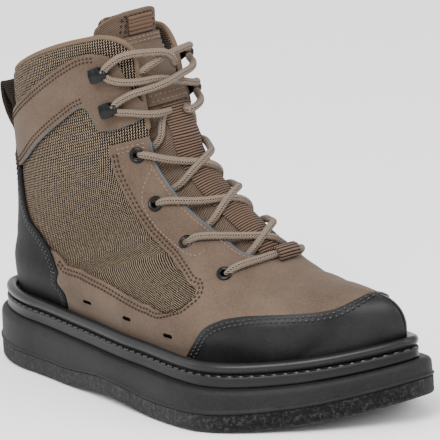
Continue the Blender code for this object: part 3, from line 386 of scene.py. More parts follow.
def section_points(number, side, shares, reach=None):
    """Points of one side at shares of the arc, from the low end to the throat's edge or the ridge."""
    curve = section_curve(number, side)
    length = run_lengths(curve)
    limit = length[-1]
    half = throat_half(number, side) if reach is None else reach
    if half > 0:
        width = np.abs(curve[:, 1] - curve[-1, 1])
        beyond = np.nonzero(width >= half)[0][-1]
        part = (width[beyond] - half) / max(width[beyond] - width[beyond + 1], 1e-12)
        limit = length[beyond] + part * (length[beyond + 1] - length[beyond])
    return points_at(np.asarray(shares) * limit, length, curve)


# Section numbers of the upper's rows, closer where the throat and the toe turn.
ROWS = [0, 0.25, 0.6, 1.0, 1.5, 2.0, 2.7, 3.4, 4.1, 4.8, 5.4, 6.0, 6.5, 7.2, 8.0, 8.6, 9.1,
        THROAT_END, 9.7, 10.0, 10.5, 11.1, 11.7, 12.3, 12.8, 13.3, 13.8, 14.4, 15.2, 16.0, 17.0, LAST]
COLUMNS = [0, 0.08, 0.18, 0.29, 0.40, 0.52, 0.64, 0.76, 0.87, 0.95, 1.0]
# The front edge of the heel counter: section, share of the arc from the back line.
COUNTER_EDGE = (
    (1.70, 0.000),
    (1.85, 0.100),
    (2.05, 0.190),
    (2.60, 0.220),
    (3.20, 0.250),
    (3.80, 0.295),
    (4.40, 0.370),
    (5.10, 0.420),
    (6.00, 0.435),
    (7.00, 0.360),
    (7.70, 0.280),
    (8.20, 0.160),
    (8.65, 0.000),
)
# The rear edge of the toe cap: share of the arc, section.
CAP_EDGE = (
    (0.00, 11.15),
    (0.18, 11.00),
    (0.35, 10.88),
    (0.43, 11.00),
    (0.47, 11.25),
    (0.53, 12.05),
    (0.59, 12.60),
    (0.72, 13.20),
    (0.93, 13.45),
    (1.00, 13.47),
)
# The lower and the upper edge of the mesh panel: section, share of the arc.
PANEL_FOOT = (
    (5.10, 0.434),
    (5.50, 0.463),
    (6.10, 0.487),
    (6.93, 0.506),
    (8.12, 0.501),
    (8.91, 0.461),
    (9.30, 0.423),
    (9.60, 0.396),
    (9.85, 0.392),
    (10.0, 0.430),
)
PANEL_HEAD = (
    (2.45, 0.830),
    (4.65, 0.847),
    (5.80, 0.851),
    (7.25, 0.836),
    (8.49, 0.790),
    (9.00, 0.730),
    (9.48, 0.637),
    (9.68, 0.600),
    (9.85, 0.545),
    (9.95, 0.490),
    (10.0, 0.430),
)
PANEL_END = PANEL_FOOT[-1][0]
# The collar strap's upper and lower edge: share of the arc, section.
STRAP_HEAD = (
    (0.00, 1.25),
    (0.31, 0.90),
    (0.46, 0.70),
    (0.64, 0.45),
    (0.80, 0.30),
    (0.85, 0.34),
    (0.90, 0.46),
    (0.93, 0.75),
    (0.96, 1.30),
    (1.00, 1.70),
)
STRAP_FOOT = (
    (0.00, 1.66),
    (0.10, 1.81),
    (0.19, 2.00),
    (0.215, 2.35),
    (0.43, 1.95),
    (0.59, 1.66),
    (0.74, 1.45),
    (0.77, 1.75),
    (0.79, 2.08),
    (0.88, 2.12),
    (1.00, 2.00),
)
EDGE_STEP = 0.006
counter_edge, cap_edge, panel_foot, panel_head, strap_head, strap_foot = [
    ease(table, 1)
    for table in (COUNTER_EDGE, CAP_EDGE, PANEL_FOOT, PANEL_HEAD, STRAP_HEAD, STRAP_FOOT)]


def wrap_point(number, around):
    """The point at an arc length around from the ridge, to the inner side where it is positive."""
    curve = section_curve(number, 1 if around >= 0 else -1)
    length = run_lengths(curve)
    return points_at(length[-1] - abs(around), length, curve)


# How far the neighbours lie that give a place's directions: in sections, and along the arc.
NEAR_SECTION = 0.15
NEAR_ARC = 0.001


def front_frame(number, around):
    """The point at an arc length from the ridge, and the outward normal there."""
    here = wrap_point(number, around)
    below = wrap_point(number + NEAR_SECTION, around)
    along = below - wrap_point(max(number - NEAR_SECTION, 0), around)
    over = wrap_point(number, around + NEAR_ARC) - wrap_point(number, around - NEAR_ARC)
    normal = np.cross(along, over)
    return here, normal / np.linalg.norm(normal)


# The upper part of the tongue, which bends back on its own round form: level, the middle's
# station and height, the turn to each edge in degrees, the radius to the outer and to the inner
# side, the depth of the bend. Levels below 0 stand over the collar. Lengths are shares of the
# tongue's width.
TONGUE_TOP = (
    (-1.00, 0.383, 1.040, 20, 0.52, 0.46, 0.52),
    (-0.80, 0.383, 1.032, 38, 0.52, 0.46, 0.52),
    (-0.45, 0.383, 1.010, 55, 0.52, 0.46, 0.52),
    (0.00, 0.383, 0.967, 58, 0.52, 0.45, 0.52),
    (1.00, 0.412, 0.892, 58, 0.49, 0.43, 0.55),
    (2.00, 0.458, 0.790, 56, 0.44, 0.40, 0.65),
)
TONGUE_LEAN = math.radians(18)
TONGUE_SPLIT = 2.6
# The lower part, under the eyestays: section, how far it lies inside the upper's form, how high
# its middle rises, its half width as a share of its greatest.
TONGUE = (
    (2.6, 0.0045, 0.0085, 0.96),
    (5.0, 0.0042, 0.0095, 0.92),
    (7.0, 0.0042, 0.0085, 0.88),
    (8.5, 0.0042, 0.0055, 0.84),
    (9.0, 0.0044, 0.0025, 0.82),
    (9.3, 0.0047, 0.0000, 0.80),
    (9.9, 0.0046, 0.0000, 0.76),
)
TONGUE_MIDDLE = 0.002
# How far inside the throat's edge the tongue's rise ends, and how flat its crown is.
RISE_MARGIN = 0.001
RISE_POWER = 1.2
tongue_station, tongue_height, tongue_turn, tongue_outer, tongue_inner, tongue_depth = [
    ease(TONGUE_TOP, column) for column in range(1, 7)]
tongue_inset, tongue_rise, tongue_half = [ease(TONGUE, column) for column in range(1, 4)]


def tongue_radius(level, side):
    """The radius of the tongue's round form on a side."""
    return float((tongue_outer if side < 0 else tongue_inner)(level)) * TONGUE_WIDTH


def tongue_face(level, around, lift=0.0):
    """A point of the tongue's outer face: its level, and the arc length from its middle."""
    top = TONGUE_TOP[-1][0]
    if level <= top:
        radius = tongue_radius(level, around)
        turn = around / radius
        depth = float(tongue_depth(level)) * TONGUE_WIDTH
        back = depth * (math.cos(turn) - 1) + lift * math.cos(turn)
        height = float(tongue_height(level)) * COLLAR_HEIGHT
        return np.array([x_at(float(tongue_station(level))) + back * math.cos(TONGUE_LEAN),
                         TONGUE_MIDDLE + (radius + lift) * math.sin(turn),
                         height + back * math.sin(TONGUE_LEAN)])
    if level < TONGUE_SPLIT:
        part = (level - top) / (TONGUE_SPLIT - top)
        return ((1 - part) * tongue_face(top, around, lift)
                + part * tongue_face(TONGUE_SPLIT, around, lift))
    point, normal = front_frame(level, TONGUE_MIDDLE + around)
    room = THROAT_OUTER - RISE_MARGIN
    bump = max(0.0, 1 - (around / room) ** 2) ** RISE_POWER
    return point + normal * (float(tongue_rise(level)) * bump - float(tongue_inset(level)) + lift)


def tongue_reach(level, side):
    """The arc length from the tongue's middle to its edge on a side."""
    if level <= TONGUE_TOP[-1][0]:
        return tongue_radius(level, side) * math.radians(float(tongue_turn(level)))
    return TONGUE_WIDTH / 2 * float(tongue_half(level))


WEBBING_THICKNESS = 0.0016
TRIM_LIFT = 0.0006
TAB_HALF = 0.010
PANEL_HALF = 0.0165
WEBBING_HALF = 0.0105
WEBBING_EDGE = 0.0004
LEATHER_FACE = OVERLAY_GAP + GAP + OVERLAY
STRAP_FACE = OVERLAY_GAP + OVERLAY
# The eyelets: section, arc from the ridge on the outer and on the inner side as shares of the
# throat's half width, how deep the outer and the inner one are pressed into the leather's form.
EYELETS = (
    (2.80, 1.53, 1.45, 0.0000, 0.0000),
    (4.60, 1.73, 1.64, 0.0000, 0.0000),
    (7.08, 1.94, 1.83, 0.0008, 0.0000),
    (9.33, 1.92, 1.84, 0.0000, 0.0000),
)
# The rivets of the lace hooks, in the same columns.
HOOKS = (
    (0.80, 2.37, 2.10),
    (1.65, 2.27, 2.02),
)
# The side view of a hook: how far towards the throat, how high over its seat, half its width,
# as shares of its length.
HOOK_SIDE = (
    (-0.26, 0.04, 0.24),
    (0.26, 0.04, 0.32),
    (0.62, 0.04, 0.24),
    (0.74, 0.12, 0.18),
    (0.79, 0.25, 0.18),
    (0.76, 0.38, 0.18),
    (0.66, 0.45, 0.19),
    (0.44, 0.47, 0.28),
    (0.20, 0.46, 0.32),
    (0.06, 0.50, 0.26),
)
HOOK_THICKNESS = 0.0009
RIVET_RADIUS = 0.0029
RIVET_HEIGHT = 0.0022


def seat(number, around):
    """The point, and the directions outward, to the throat and along it, on the outer form."""
    point, normal = front_frame(number, around)
    if around > 0:
        ahead = wrap_point(number, around - NEAR_ARC) - wrap_point(number, around + NEAR_ARC)
    else:
        ahead = wrap_point(number, around + NEAR_ARC) - wrap_point(number, around - NEAR_ARC)
    ahead -= normal * np.dot(ahead, normal)
    ahead /= np.linalg.norm(ahead)
    return point, normal, ahead, np.cross(normal, ahead)


def seat_of(row, side):
    """The seat of an eyelet or a hook from its row of a table, on one side."""
    return seat(row[0], side * row[1 if side < 0 else 2] * THROAT_OUTER)


def on_seat(place, ahead, across, lift):
    """A point by a seat: towards the throat, along it and outward."""
    point, normal, towards, along = place
    return point + towards * ahead + along * across + normal * lift


# The pull loop's course: section on the back line, how far behind the shaft, in loop thicknesses.
LOOP = (
    (1.02, 2.10),
    (0.86, 2.60),
    (0.68, 4.20),
    (0.50, 5.60),
    (0.38, 6.45),
    (0.35, 7.20),
    (0.44, 7.55),
    (0.70, 7.30),
    (1.00, 6.20),
    (1.25, 4.55),
    (1.45, 2.70),
    (1.58, 2.05),
)


def rear_point(number, around):
    """The point at an arc length around from the back line, to the inner side where positive."""
    curve = section_curve(number, 1 if around > 0 else -1)
    return points_at(abs(around), run_lengths(curve), curve)


# The keeper's course over the lowest bar: section, height over the outer form in lace diameters.
KEEPER = (
    (9.04, 0.80),
    (9.07, 1.40),
    (9.18, 1.88),
    (9.33, 2.02),
    (9.48, 1.88),
    (9.60, 1.40),
    (9.64, 0.92),
)
KEEPER_HALF = 0.0075
LACE_CLEARANCE = 0.0007
# The strands of the lace: section and arc from the ridge in throat half widths at each end,
# and how much higher the strand runs where it crosses another, in lace diameters.
LACE_BAR = (9.33, -1.62, 9.33, 1.56, 0.0)
LACE_CROSSINGS = (
    ((7.15, -1.64, 8.85, 0.72, 0.0), (8.65, -0.74, 7.10, 1.56, 0.7)),
    ((4.62, -1.46, 6.60, 0.92, 0.0), (6.30, -0.82, 4.62, 1.40, 0.7)),
    ((2.85, -1.28, 4.45, 0.92, 0.0), (4.15, -0.82, 2.90, 1.22, 0.7)),
)


# From the ridge in the throat's half widths: a strand lies on the tongue alone up to the first
# and on the leather alone beyond the second.
TONGUE_ALONE = 0.8
LEATHER_ALONE = 1.25
# The throat counts as closed for a strand this close to its end.
THROAT_MARGIN = 0.05


def rest_height(number, around):
    """How high over the outer form a strand's middle lies to clear what is under it."""
    under = LEATHER_FACE
    if number < THROAT_END - THROAT_MARGIN:
        beside = abs(around) / throat_half(number, around)
        if beside <= LEATHER_ALONE:
            base, normal = front_frame(number, around)
            face = tongue_face(number, around - TONGUE_MIDDLE, TRIM_LIFT + WEBBING_THICKNESS)
            over_tongue = float(np.dot(face - base, normal))
            under = over_tongue if beside < TONGUE_ALONE else max(LEATHER_FACE, over_tongue)
    return under + LACE_CLEARANCE + LACE_DIAMETER / 2


STRAND_POINTS = 8
# How far from its middle a strand is raised over the one that it crosses, as a share of it.
CROSSING_REACH = 0.3


def strand(ends):
    """Points of a strand from the outer to the inner side."""
    first, start, last, end, raised = ends
    shares = np.linspace(0, 1, STRAND_POINTS)
    places = [(first + (last - first) * share, (start + (end - start) * share) * THROAT_OUTER)
              for share in shares]
    lifts = np.array([rest_height(number, around) for number, around in places])
    for _ in range(2):
        padded = np.pad(lifts, 1, mode="edge")
        lifts = np.maximum(lifts, np.convolve(padded, [0.25, 0.5, 0.25], "valid"))
    points = []
    for share, lift, (number, around) in zip(shares, lifts, places):
        point, normal = front_frame(number, around)
        crossing = max(0.0, 1 - abs(share - 0.5) / CROSSING_REACH)
        crossing = crossing * crossing * (3 - 2 * crossing)
        points.append(point + normal * (lift + raised * crossing * LACE_DIAMETER))
    return points


# Where a strand runs round a hook, from its lower to its upper side: towards the throat, along
# it, as shares of the hook's length.
HOOK_TURN = (
    (0.74, -0.39),
    (0.585, -0.25),
    (0.54, 0.00),
    (0.585, 0.25),
    (0.74, 0.39),
)
HOOK_LACE_LIFT = 0.0036

# The line where the upper's outer face meets the deck, on the outer and on the inner side.
FEATHER = outline(UPPER_INSET_HEEL, UPPER_INSET_TOE, DENSE)

# The way along the upper between two sections, about.
SECTION_PITCH = 0.0235
# How finely each piece is modelled here.
SOLE_STEPS = 150
ROW_PARTS = 4
COLUMN_PARTS = 4
SURFACE_STEP = 0.05
THROAT_STEP = 0.01
MILLIMETRE = 0.001
# The flat places that pieces keep as UVs are lengths in decimetres.
DECIMETRES = 10
SHARP_ANGLE = 50
BEVEL_ANGLE = 55
# The boot's two sides, and what its pieces are called there.
SIDES = ((-1, "outer"), (1, "inner"))

# The camera, set to the photograph's angle.
CAMERA_AZIMUTH = 45.065
CAMERA_ELEVATION = 14.0
CAMERA_ROLL = -3.1
CAMERA_DISTANCE = 3.5
CAMERA_TARGET = (0.150, 0.0, 0.100)
CAMERA_LENS = 500.8
CAMERA_SHIFT = (-0.0851, 0.0236)

# The sections and shares at which the outer form is worked out, closer at the throat's end.
NUMBERS = np.unique(np.round(np.concatenate([
    np.arange(0, LAST + 0.01, SURFACE_STEP),
    np.arange(9.1, THROAT_END, THROAT_STEP),
    [THROAT_END]]), 4))
SHARES = np.linspace(0, 1, 161)
# Where the toe is evened out, over how many sections that sets in and ends, and how often.
SOFT_FROM = 9.8
SOFT_START = 1.5
SOFT_END = 0.8
SOFT_TIMES = 420


def soften(points):
    """Evens out the sections of the toe, where they turn from upright to fanned out."""
    first = np.searchsorted(NUMBERS, SOFT_FROM)
    ease_in = np.clip((NUMBERS[first:] - SOFT_FROM) / SOFT_START, 0, 1)
    ease_out = np.clip((LAST - NUMBERS[first:]) / SOFT_END, 0, 1)
    weight = (ease_in * ease_out)[:, None, None]
    toe = points[first:]
    for _ in range(SOFT_TIMES):
        even = toe.copy()
        even[1:-1] = 0.5 * toe[1:-1] + 0.25 * (toe[:-2] + toe[2:])
        toe = toe + weight * (even - toe)
    return np.concatenate([points[:first], toe])


def surface_table(side):
    """Points, outward directions and lengths over one side of the outer form."""
    points = np.array([section_points(number, side, SHARES) for number in NUMBERS])
    points = soften(points)
    along = np.gradient(points, NUMBERS, axis=0)
    over = np.gradient(points, SHARES, axis=1)
    across = np.cross(over, along) * side
    across /= np.maximum(np.linalg.norm(across, axis=2), 1e-12)[:, :, None]
    ankle = np.searchsorted(NUMBERS, 3.0)
    if across[ankle, len(SHARES) // 2, 1] * side < 0:
        across = -across
    steps = np.linalg.norm(np.diff(points, axis=1), axis=2)
    lengths = np.concatenate([np.zeros((len(NUMBERS), 1)), np.cumsum(steps, axis=1)], 1)
    return points, across, lengths


TABLES = {side: surface_table(side) for side, _ in SIDES}


def sample(table, number, share):
    """A value between the points of a table, for arrays of sections and shares."""
    number = np.clip(np.asarray(number, float), NUMBERS[0], NUMBERS[-1])
    share = np.clip(np.asarray(share, float), 0, 1)
    row = np.clip(np.searchsorted(NUMBERS, number, side="right") - 1, 0, len(NUMBERS) - 2)
    part = (number - NUMBERS[row]) / (NUMBERS[row + 1] - NUMBERS[row])
    place = share * (len(SHARES) - 1)
    column = np.minimum(place.astype(int), len(SHARES) - 2)
    rest = place - column
    if table.ndim == 3:
        part = part[..., None]
        rest = rest[..., None]
    low = table[row, column] * (1 - rest) + table[row, column + 1] * rest
    high = table[row + 1, column] * (1 - rest) + table[row + 1, column + 1] * rest
    return low * (1 - part) + high * part


def form_point(number, share, side, lift):
    """Points over the outer form, at shares of the arc of a section."""
    points, outward, _ = TABLES[side]
    lift = np.asarray(lift, float)
    normal = sample(outward, number, share)
    normal = normal / np.maximum(np.linalg.norm(normal, axis=-1), 1e-12)[..., None]
    return sample(points, number, share) + normal * lift[..., None]


def flat_place(number, share, side):
    """Where a point lies on the cloth laid flat: along the section and along the boot."""
    return sample(TABLES[side][2], number, share), np.asarray(number, float) * SECTION_PITCH


def finer(values, parts):
    """A list of values with more steps between each two."""
    steps = [np.linspace(a, b, parts, endpoint=False) for a, b in zip(values[:-1], values[1:])]
    return np.concatenate(steps + [[values[-1]]])


def mesh_object(name, vertices, faces, finishes, uvs=None, merge=0.0):
    """A mesh with its faces turned out, its doubles merged and its flat places kept as UVs."""
    work = bmesh.new()
    layer = work.loops.layers.uv.new("flat")
    made = [work.verts.new(tuple(v)) for v in vertices]
    work.verts.ensure_lookup_table()
    for face in faces:
        corners = list(dict.fromkeys(face))
        if len(corners) < 3:
            continue
        built = work.faces.new([made[i] for i in corners])
        if uvs is not None:
            for loop, i in zip(built.loops, corners):
                loop[layer].uv = uvs[i]
    if merge > 0:
        bmesh.ops.remove_doubles(work, verts=work.verts, dist=merge)
        bmesh.ops.dissolve_degenerate(work, edges=work.edges, dist=merge)
    bmesh.ops.recalc_face_normals(work, faces=work.faces)
    mesh = bpy.data.meshes.new(name)
    work.to_mesh(mesh)
    work.free()
    for finish in finishes:
        mesh.materials.append(finish)
    mesh.shade_smooth()
    mesh.set_sharp_from_angle(angle=math.radians(SHARP_ANGLE))
    obj = bpy.data.objects.new(name, mesh)
    bpy.context.scene.collection.objects.link(obj)
    return obj


def dress(obj, slot, *nodes):
    """Hands a piece to the frame: it rides on the boot and stands for its solids."""
    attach(obj, "root")
    if nodes:
        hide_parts(*nodes)
    return obj


def wall(obj, thickness, offset, soft=0.0, inside=0):
    """A thickness on an open surface: outward at 1, inward at -1, with soft edges.

    inside is the slot of the finish that its inner face takes.
    """
    solid = obj.modifiers.new("wall", "SOLIDIFY")
    solid.thickness = thickness
    solid.offset = offset
    solid.use_quality_normals = True
    solid.material_offset = inside
    if soft > 0:
        round_off = obj.modifiers.new("edges", "BEVEL")
        round_off.width = soft
        round_off.segments = 2
        round_off.limit_method = "ANGLE"
        round_off.angle_limit = math.radians(BEVEL_ANGLE)
        round_off.use_clamp_overlap = True
    return solid


def turn_out(obj, side_check):
    """Flips an open surface whose faces look inward by a check of their centres and normals."""
    mesh = obj.data
    total = sum(side_check(p.center, p.normal) * p.area for p in mesh.polygons)
    if total < 0:
        mesh.flip_normals()
    return obj


# A line inside the boot: its back and front end, where it drops to the foot, its two heights.
INSIDE_BACK = 0.02
INSIDE_FRONT = 0.19
INSIDE_DROP = 0.12
INSIDE_SHAFT = 0.10
INSIDE_FOOT = 0.055


def from_middle(centre, normal):
    """Positive where a face looks away from the boot's inside."""
    height = INSIDE_FOOT if centre.x > INSIDE_DROP else INSIDE_SHAFT
    aside = centre - Vector((min(max(centre.x, INSIDE_BACK), INSIDE_FRONT), 0.0, height))
    return 1.0 if aside.dot(normal) > 0 else -1.0


def grid_faces(rows, columns, keep=None):
    """Faces between the points of a grid, row after row."""
    faces = []
    for row in range(rows - 1):
        for k in range(columns - 1):
            if keep is None or keep(row, k):
                base = row * columns + k
                faces.append((base, base + 1, base + columns + 1, base + columns))
    return faces


def ring_faces(rings, size, start=0, joined=False):
    """Faces between closed rings of points, one after the other, or round in a circle if joined."""
    faces = []
    for ring in range(rings if joined else rings - 1):
        here = start + ring * size
        beyond = start + (ring + 1) % rings * size
        for k in range(size):
            after = (k + 1) % size
            faces.append((here + k, here + after, beyond + after, beyond + k))
    return faces


# Points of a shell closer than this are one, as where both sides meet.
MERGE = 2e-5


def shell(name, rows, columns, place, lift, finishes, keep=None):
    """An open piece over the outer form, on both sides of the boot.

    place(number, share) gives the section and share of a grid point, lift(number, share) how high
    it lies over the form, and keep(number, share) says whether the face after it is there.
    """
    vertices = []
    faces = []
    uvs = []
    placed = np.array([[place(n, s) for s in columns] for n in rows])
    numbers, shares = placed[:, :, 0], placed[:, :, 1]
    kept = None if keep is None else (lambda r, k: keep(rows[r], columns[k]))
    grid = grid_faces(len(rows), len(columns), kept)
    for side, _ in SIDES:
        start = len(vertices)
        vertices.extend(form_point(numbers, shares, side, lift(numbers, shares)).reshape(-1, 3))
        over, along = flat_place(numbers, shares, side)
        uvs.extend(zip(over.ravel() * DECIMETRES, along.ravel() * DECIMETRES))
        faces.extend(tuple(i + start for i in face) for face in grid)
    obj = mesh_object(name, vertices, faces, finishes, uvs, MERGE)
    return turn_out(obj, from_middle)


# Finishes


class Finish:
    """A node material, built up step by step."""

    def __init__(self, name, roughness, sheen=0.0, specular=0.5):
        self.material = bpy.data.materials.new(name)
        self.material.use_nodes = True
        self.tree = self.material.node_tree
        self.shader = self.tree.nodes["Principled BSDF"]
        self.shader.inputs["Roughness"].default_value = roughness
        self.shader.inputs["Sheen Weight"].default_value = sheen
        self.shader.inputs["Specular IOR Level"].default_value = specular
        self.bump = None

    def colour(self, colour):
        self.shader.inputs["Base Color"].default_value = (*colour, 1.0)
        self.material.diffuse_color = (*colour, 1.0)
        return self

    def node(self, kind, **settings):
        made = self.tree.nodes.new(kind)
        for key, value in settings.items():
            if hasattr(made, key):
                setattr(made, key, value)
            else:
                made.inputs[key.replace("_", " ")].default_value = value
        return made

    def link(self, out, into):
        self.tree.links.new(out, into)
        return self

    def object_place(self, scale=(1, 1, 1)):
        """Places in the piece's own metres, stretched by a scale."""
        place = self.node("ShaderNodeTexCoord")
        mapping = self.node("ShaderNodeMapping")
        mapping.inputs["Scale"].default_value = scale
        self.link(place.outputs["Object"], mapping.inputs["Vector"])
        return mapping.outputs["Vector"]

    def flat_place(self, turn=0.0):
        """Places on the piece laid flat, in decimetres, turned in its plane."""
        place = self.node("ShaderNodeUVMap", uv_map="flat")
        mapping = self.node("ShaderNodeMapping")
        mapping.inputs["Rotation"].default_value = (0, 0, turn)
        self.link(place.outputs["UV"], mapping.inputs["Vector"])
        return mapping.outputs["Vector"]

    def noise(self, where, scale, detail=4.0, roughness=0.6):
        made = self.node("ShaderNodeTexNoise")
        made.inputs["Scale"].default_value = scale
        made.inputs["Detail"].default_value = detail
        made.inputs["Roughness"].default_value = roughness
        self.link(where, made.inputs["Vector"])
        return made.outputs["Fac"]

    def feed(self, socket, value):
        """Sets a socket to a number or a colour, or links it to another node's output."""
        if isinstance(value, (int, float)):
            socket.default_value = value
        elif isinstance(value, tuple):
            socket.default_value = (*value, 1.0)
        else:
            self.link(value, socket)

    def maths(self, operation, first, second=0.5, third=0.5):
        """One step of arithmetic on numbers or outputs of nodes."""
        made = self.node("ShaderNodeMath", operation=operation)
        for socket, value in zip(made.inputs, (first, second, third)):
            self.feed(socket, value)
        return made.outputs["Value"]

    def ramp(self, value, stops):
        """Colours between stops of a position and a colour."""
        made = self.node("ShaderNodeValToRGB")
        elements = made.color_ramp.elements
        for index, (position, colour) in enumerate(stops):
            element = elements[index] if index < 2 else elements.new(position)
            element.position = position
            element.color = (*colour, 1.0)
        self.link(value, made.inputs["Fac"])
        return made.outputs["Color"]

    def mix(self, share, first, second):
        made = self.node("ShaderNodeMix", data_type="RGBA")
        self.link(share, made.inputs[0])
        self.feed(made.inputs[6], first)
        self.feed(made.inputs[7], second)
        return made.outputs[2]

    def paint(self, colour):
        self.link(colour, self.shader.inputs["Base Color"])
        return self

    def relief(self, height, distance, strength):
        """A bump over those that the finish has already."""
        made = self.node("ShaderNodeBump")
        made.inputs["Distance"].default_value = distance
        made.inputs["Strength"].default_value = strength
        self.link(height, made.inputs["Height"])
        if self.bump is not None:
            self.link(self.bump.outputs["Normal"], made.inputs["Normal"])
        self.link(made.outputs["Normal"], self.shader.inputs["Normal"])
        self.bump = made
        return self

    def separate(self, vector):
        made = self.node("ShaderNodeSeparateXYZ")
        self.link(vector, made.inputs["Vector"])
        return made.outputs["X"], made.outputs["Y"]

    def blend(self, first, share, second):
        """A share of the first value with the rest of the second."""
        return self.maths("ADD", self.maths("MULTIPLY", first, share),
                          self.maths("MULTIPLY", second, 1 - share))

    def wave(self, value, pitch):
        """A sine that comes back after every pitch."""
        return self.maths("SINE", self.maths("MULTIPLY", value, 2 * math.pi / pitch))


def nubuck_finish():
    """Brushed leather: a fine grain, slightly cloudy."""
    look = Finish("nubuck_look", 0.92, sheen=0.04, specular=0.12)
    where = look.object_place()
    broad = look.noise(where, 24.0, 3.0)
    grain = look.noise(where, 1100.0, 3.0, 0.7)
    mixed = look.blend(broad, 0.5, grain)
    base = look.ramp(mixed, ((0.36, (0.055, 0.0375, 0.0262)), (0.64, (0.103, 0.0725, 0.0525))))
    look.colour((0.15, 0.10, 0.07)).paint(base)
    look.relief(grain, 0.0003, 0.5)
    return look.material


def black_leather_finish(name, streaked):
    """Black leather with a soft sheen; the counter's is brushed upwards."""
    look = Finish(name, 0.62 if streaked else 0.46, specular=0.12 if streaked else 0.2)
    where = look.object_place()
    grain = look.noise(where, 800.0, 4.0, 0.65)
    if streaked:
        shade = look.noise(look.object_place((800, 800, 30)), 1.0, 3.0)
    else:
        shade = look.noise(where, 30.0, 3.0)
    stops = ((0.38, (0.0018, 0.0018, 0.0019)), (0.64, (0.0105, 0.0105, 0.0108)))
    look.colour((0.010, 0.010, 0.010))
    look.paint(look.ramp(look.blend(shade, 0.6, grain), stops))
    look.relief(grain, 0.00035, 0.45)
    return look.material


# The knit of the mesh, in decimetres: how far its columns and rows lie apart, how long a zigzag
# is, and how far that swings as a share of its length.
KNIT_COLUMN = 0.0170
KNIT_ROW = 0.0144
KNIT_ZIGZAG = 0.0072
KNIT_SWING = 0.42


def mesh_finish():
    """Open knit: zigzag columns of tan thread, broken up in rows, over a black ground."""
    look = Finish("mesh_look", 0.8, specular=0.1)
    across, along = look.separate(look.flat_place())
    swing = look.maths("PINGPONG", along, KNIT_ZIGZAG)
    zigzag = look.maths("MULTIPLY", swing, 2 * math.pi / KNIT_ZIGZAG * KNIT_SWING)
    bent = look.maths("ADD", look.maths("MULTIPLY", across, 2 * math.pi / KNIT_COLUMN), zigzag)
    threads = look.maths("SINE", bent)
    rows = look.wave(along, KNIT_ROW)
    height = look.maths("ADD", threads, look.maths("MULTIPLY", rows, 0.35))
    fuzz = look.noise(look.object_place(), 600.0, 2.0)
    height = look.maths("ADD", height, look.maths("MULTIPLY_ADD", fuzz, 0.8, -0.4))
    look.colour((0.09, 0.07, 0.05))
    look.paint(look.ramp(look.maths("MULTIPLY_ADD", height, 0.4, 0.5),
                         ((0.69, (0.0010, 0.0008, 0.0007)), (0.86, (0.350, 0.265, 0.180)))))
    look.relief(height, 0.0006, 0.8)
    return look.material


def plain_cloth_finish(name, dark, light, pitch, turn=0.0):
    """Cloth with fine ribs across its length, a pitch in decimetres apart."""
    look = Finish(name, 0.9, sheen=0.03, specular=0.12)
    _, along = look.separate(look.flat_place(turn=turn))
    ribs = look.wave(along, pitch)
    fuzz = look.noise(look.object_place(), 900.0, 3.0)
    height = look.maths("ADD", ribs, fuzz)
    look.colour(light)
    look.paint(look.ramp(look.maths("MULTIPLY_ADD", height, 0.4, 0.3), ((0.15, dark), (0.65, light))))
    look.relief(height, 0.0003, 0.7)
    return look.material


def felt_finish():
    """Pressed dark fibres with light clumps."""
    look = Finish("felt_look", 1.0, sheen=0.1, specular=0.1)
    where = look.object_place()
    fibres = look.noise(where, 1400.0, 5.0, 0.8)
    clumps = look.noise(where, 420.0, 4.0, 0.7)
    look.colour((0.012, 0.012, 0.012))
    both = look.maths("MULTIPLY", fibres, clumps)
    look.paint(look.ramp(both, ((0.26, (0.0008, 0.0008, 0.0008)), (0.38, (0.048, 0.047, 0.046)))))
    look.relief(fibres, 0.0012, 0.9)
    return look.material


def rubber_finish(name, low, high, roughness, grain, distance):
    """Dark rubber, speckled and slightly cloudy."""
    look = Finish(name, roughness, specular=0.2)
    where = look.object_place()
    speckle = look.noise(where, grain, 5.0, 0.7)
    broad = look.noise(where, 22.0, 3.0)
    look.colour(high)
    look.paint(look.ramp(look.blend(speckle, 0.6, broad), ((0.36, low), (0.64, high))))
    look.relief(speckle, distance, 0.35)
    return look.material


# How fast the braid's threads turn around the rope and along it, in radians.
BRAID_TURN = 50.3
BRAID_RUN = 420.0


def lace_finish():
    """Braided rope: beige, with two thin lines of dark flecks along it."""
    look = Finish("lace_look", 0.85, sheen=0.04, specular=0.12)
    around, along = look.separate(look.flat_place())
    turned = look.maths("MULTIPLY", around, BRAID_TURN)
    moved = look.maths("MULTIPLY", along, BRAID_RUN)
    left = look.maths("SINE", look.maths("ADD", turned, moved))
    right = look.maths("SINE", look.maths("SUBTRACT", turned, moved))
    braid = look.maths("ADD", left, right)
    base = look.ramp(look.maths("MULTIPLY_ADD", braid, 0.25),
                     ((0.05, (0.080, 0.058, 0.042)), (0.60, (0.200, 0.152, 0.115))))
    beside = look.maths("ABSOLUTE", look.maths("SINE", look.maths("MULTIPLY", around, 2 * math.pi)))
    line = look.maths("LESS_THAN", beside, 0.13)
    fleck = look.maths("GREATER_THAN", look.maths("SINE", moved), -0.3)
    spot = look.maths("MULTIPLY", line, fleck)
    look.colour((0.24, 0.18, 0.13)).paint(look.mix(spot, base, (0.020, 0.014, 0.010)))
    look.relief(braid, 0.0004, 0.7)
    return look.material


def plain_finish(name, colour, roughness, specular=0.4):
    """One colour without grain."""
    look = Finish(name, roughness, specular=specular)
    return look.colour(colour).material


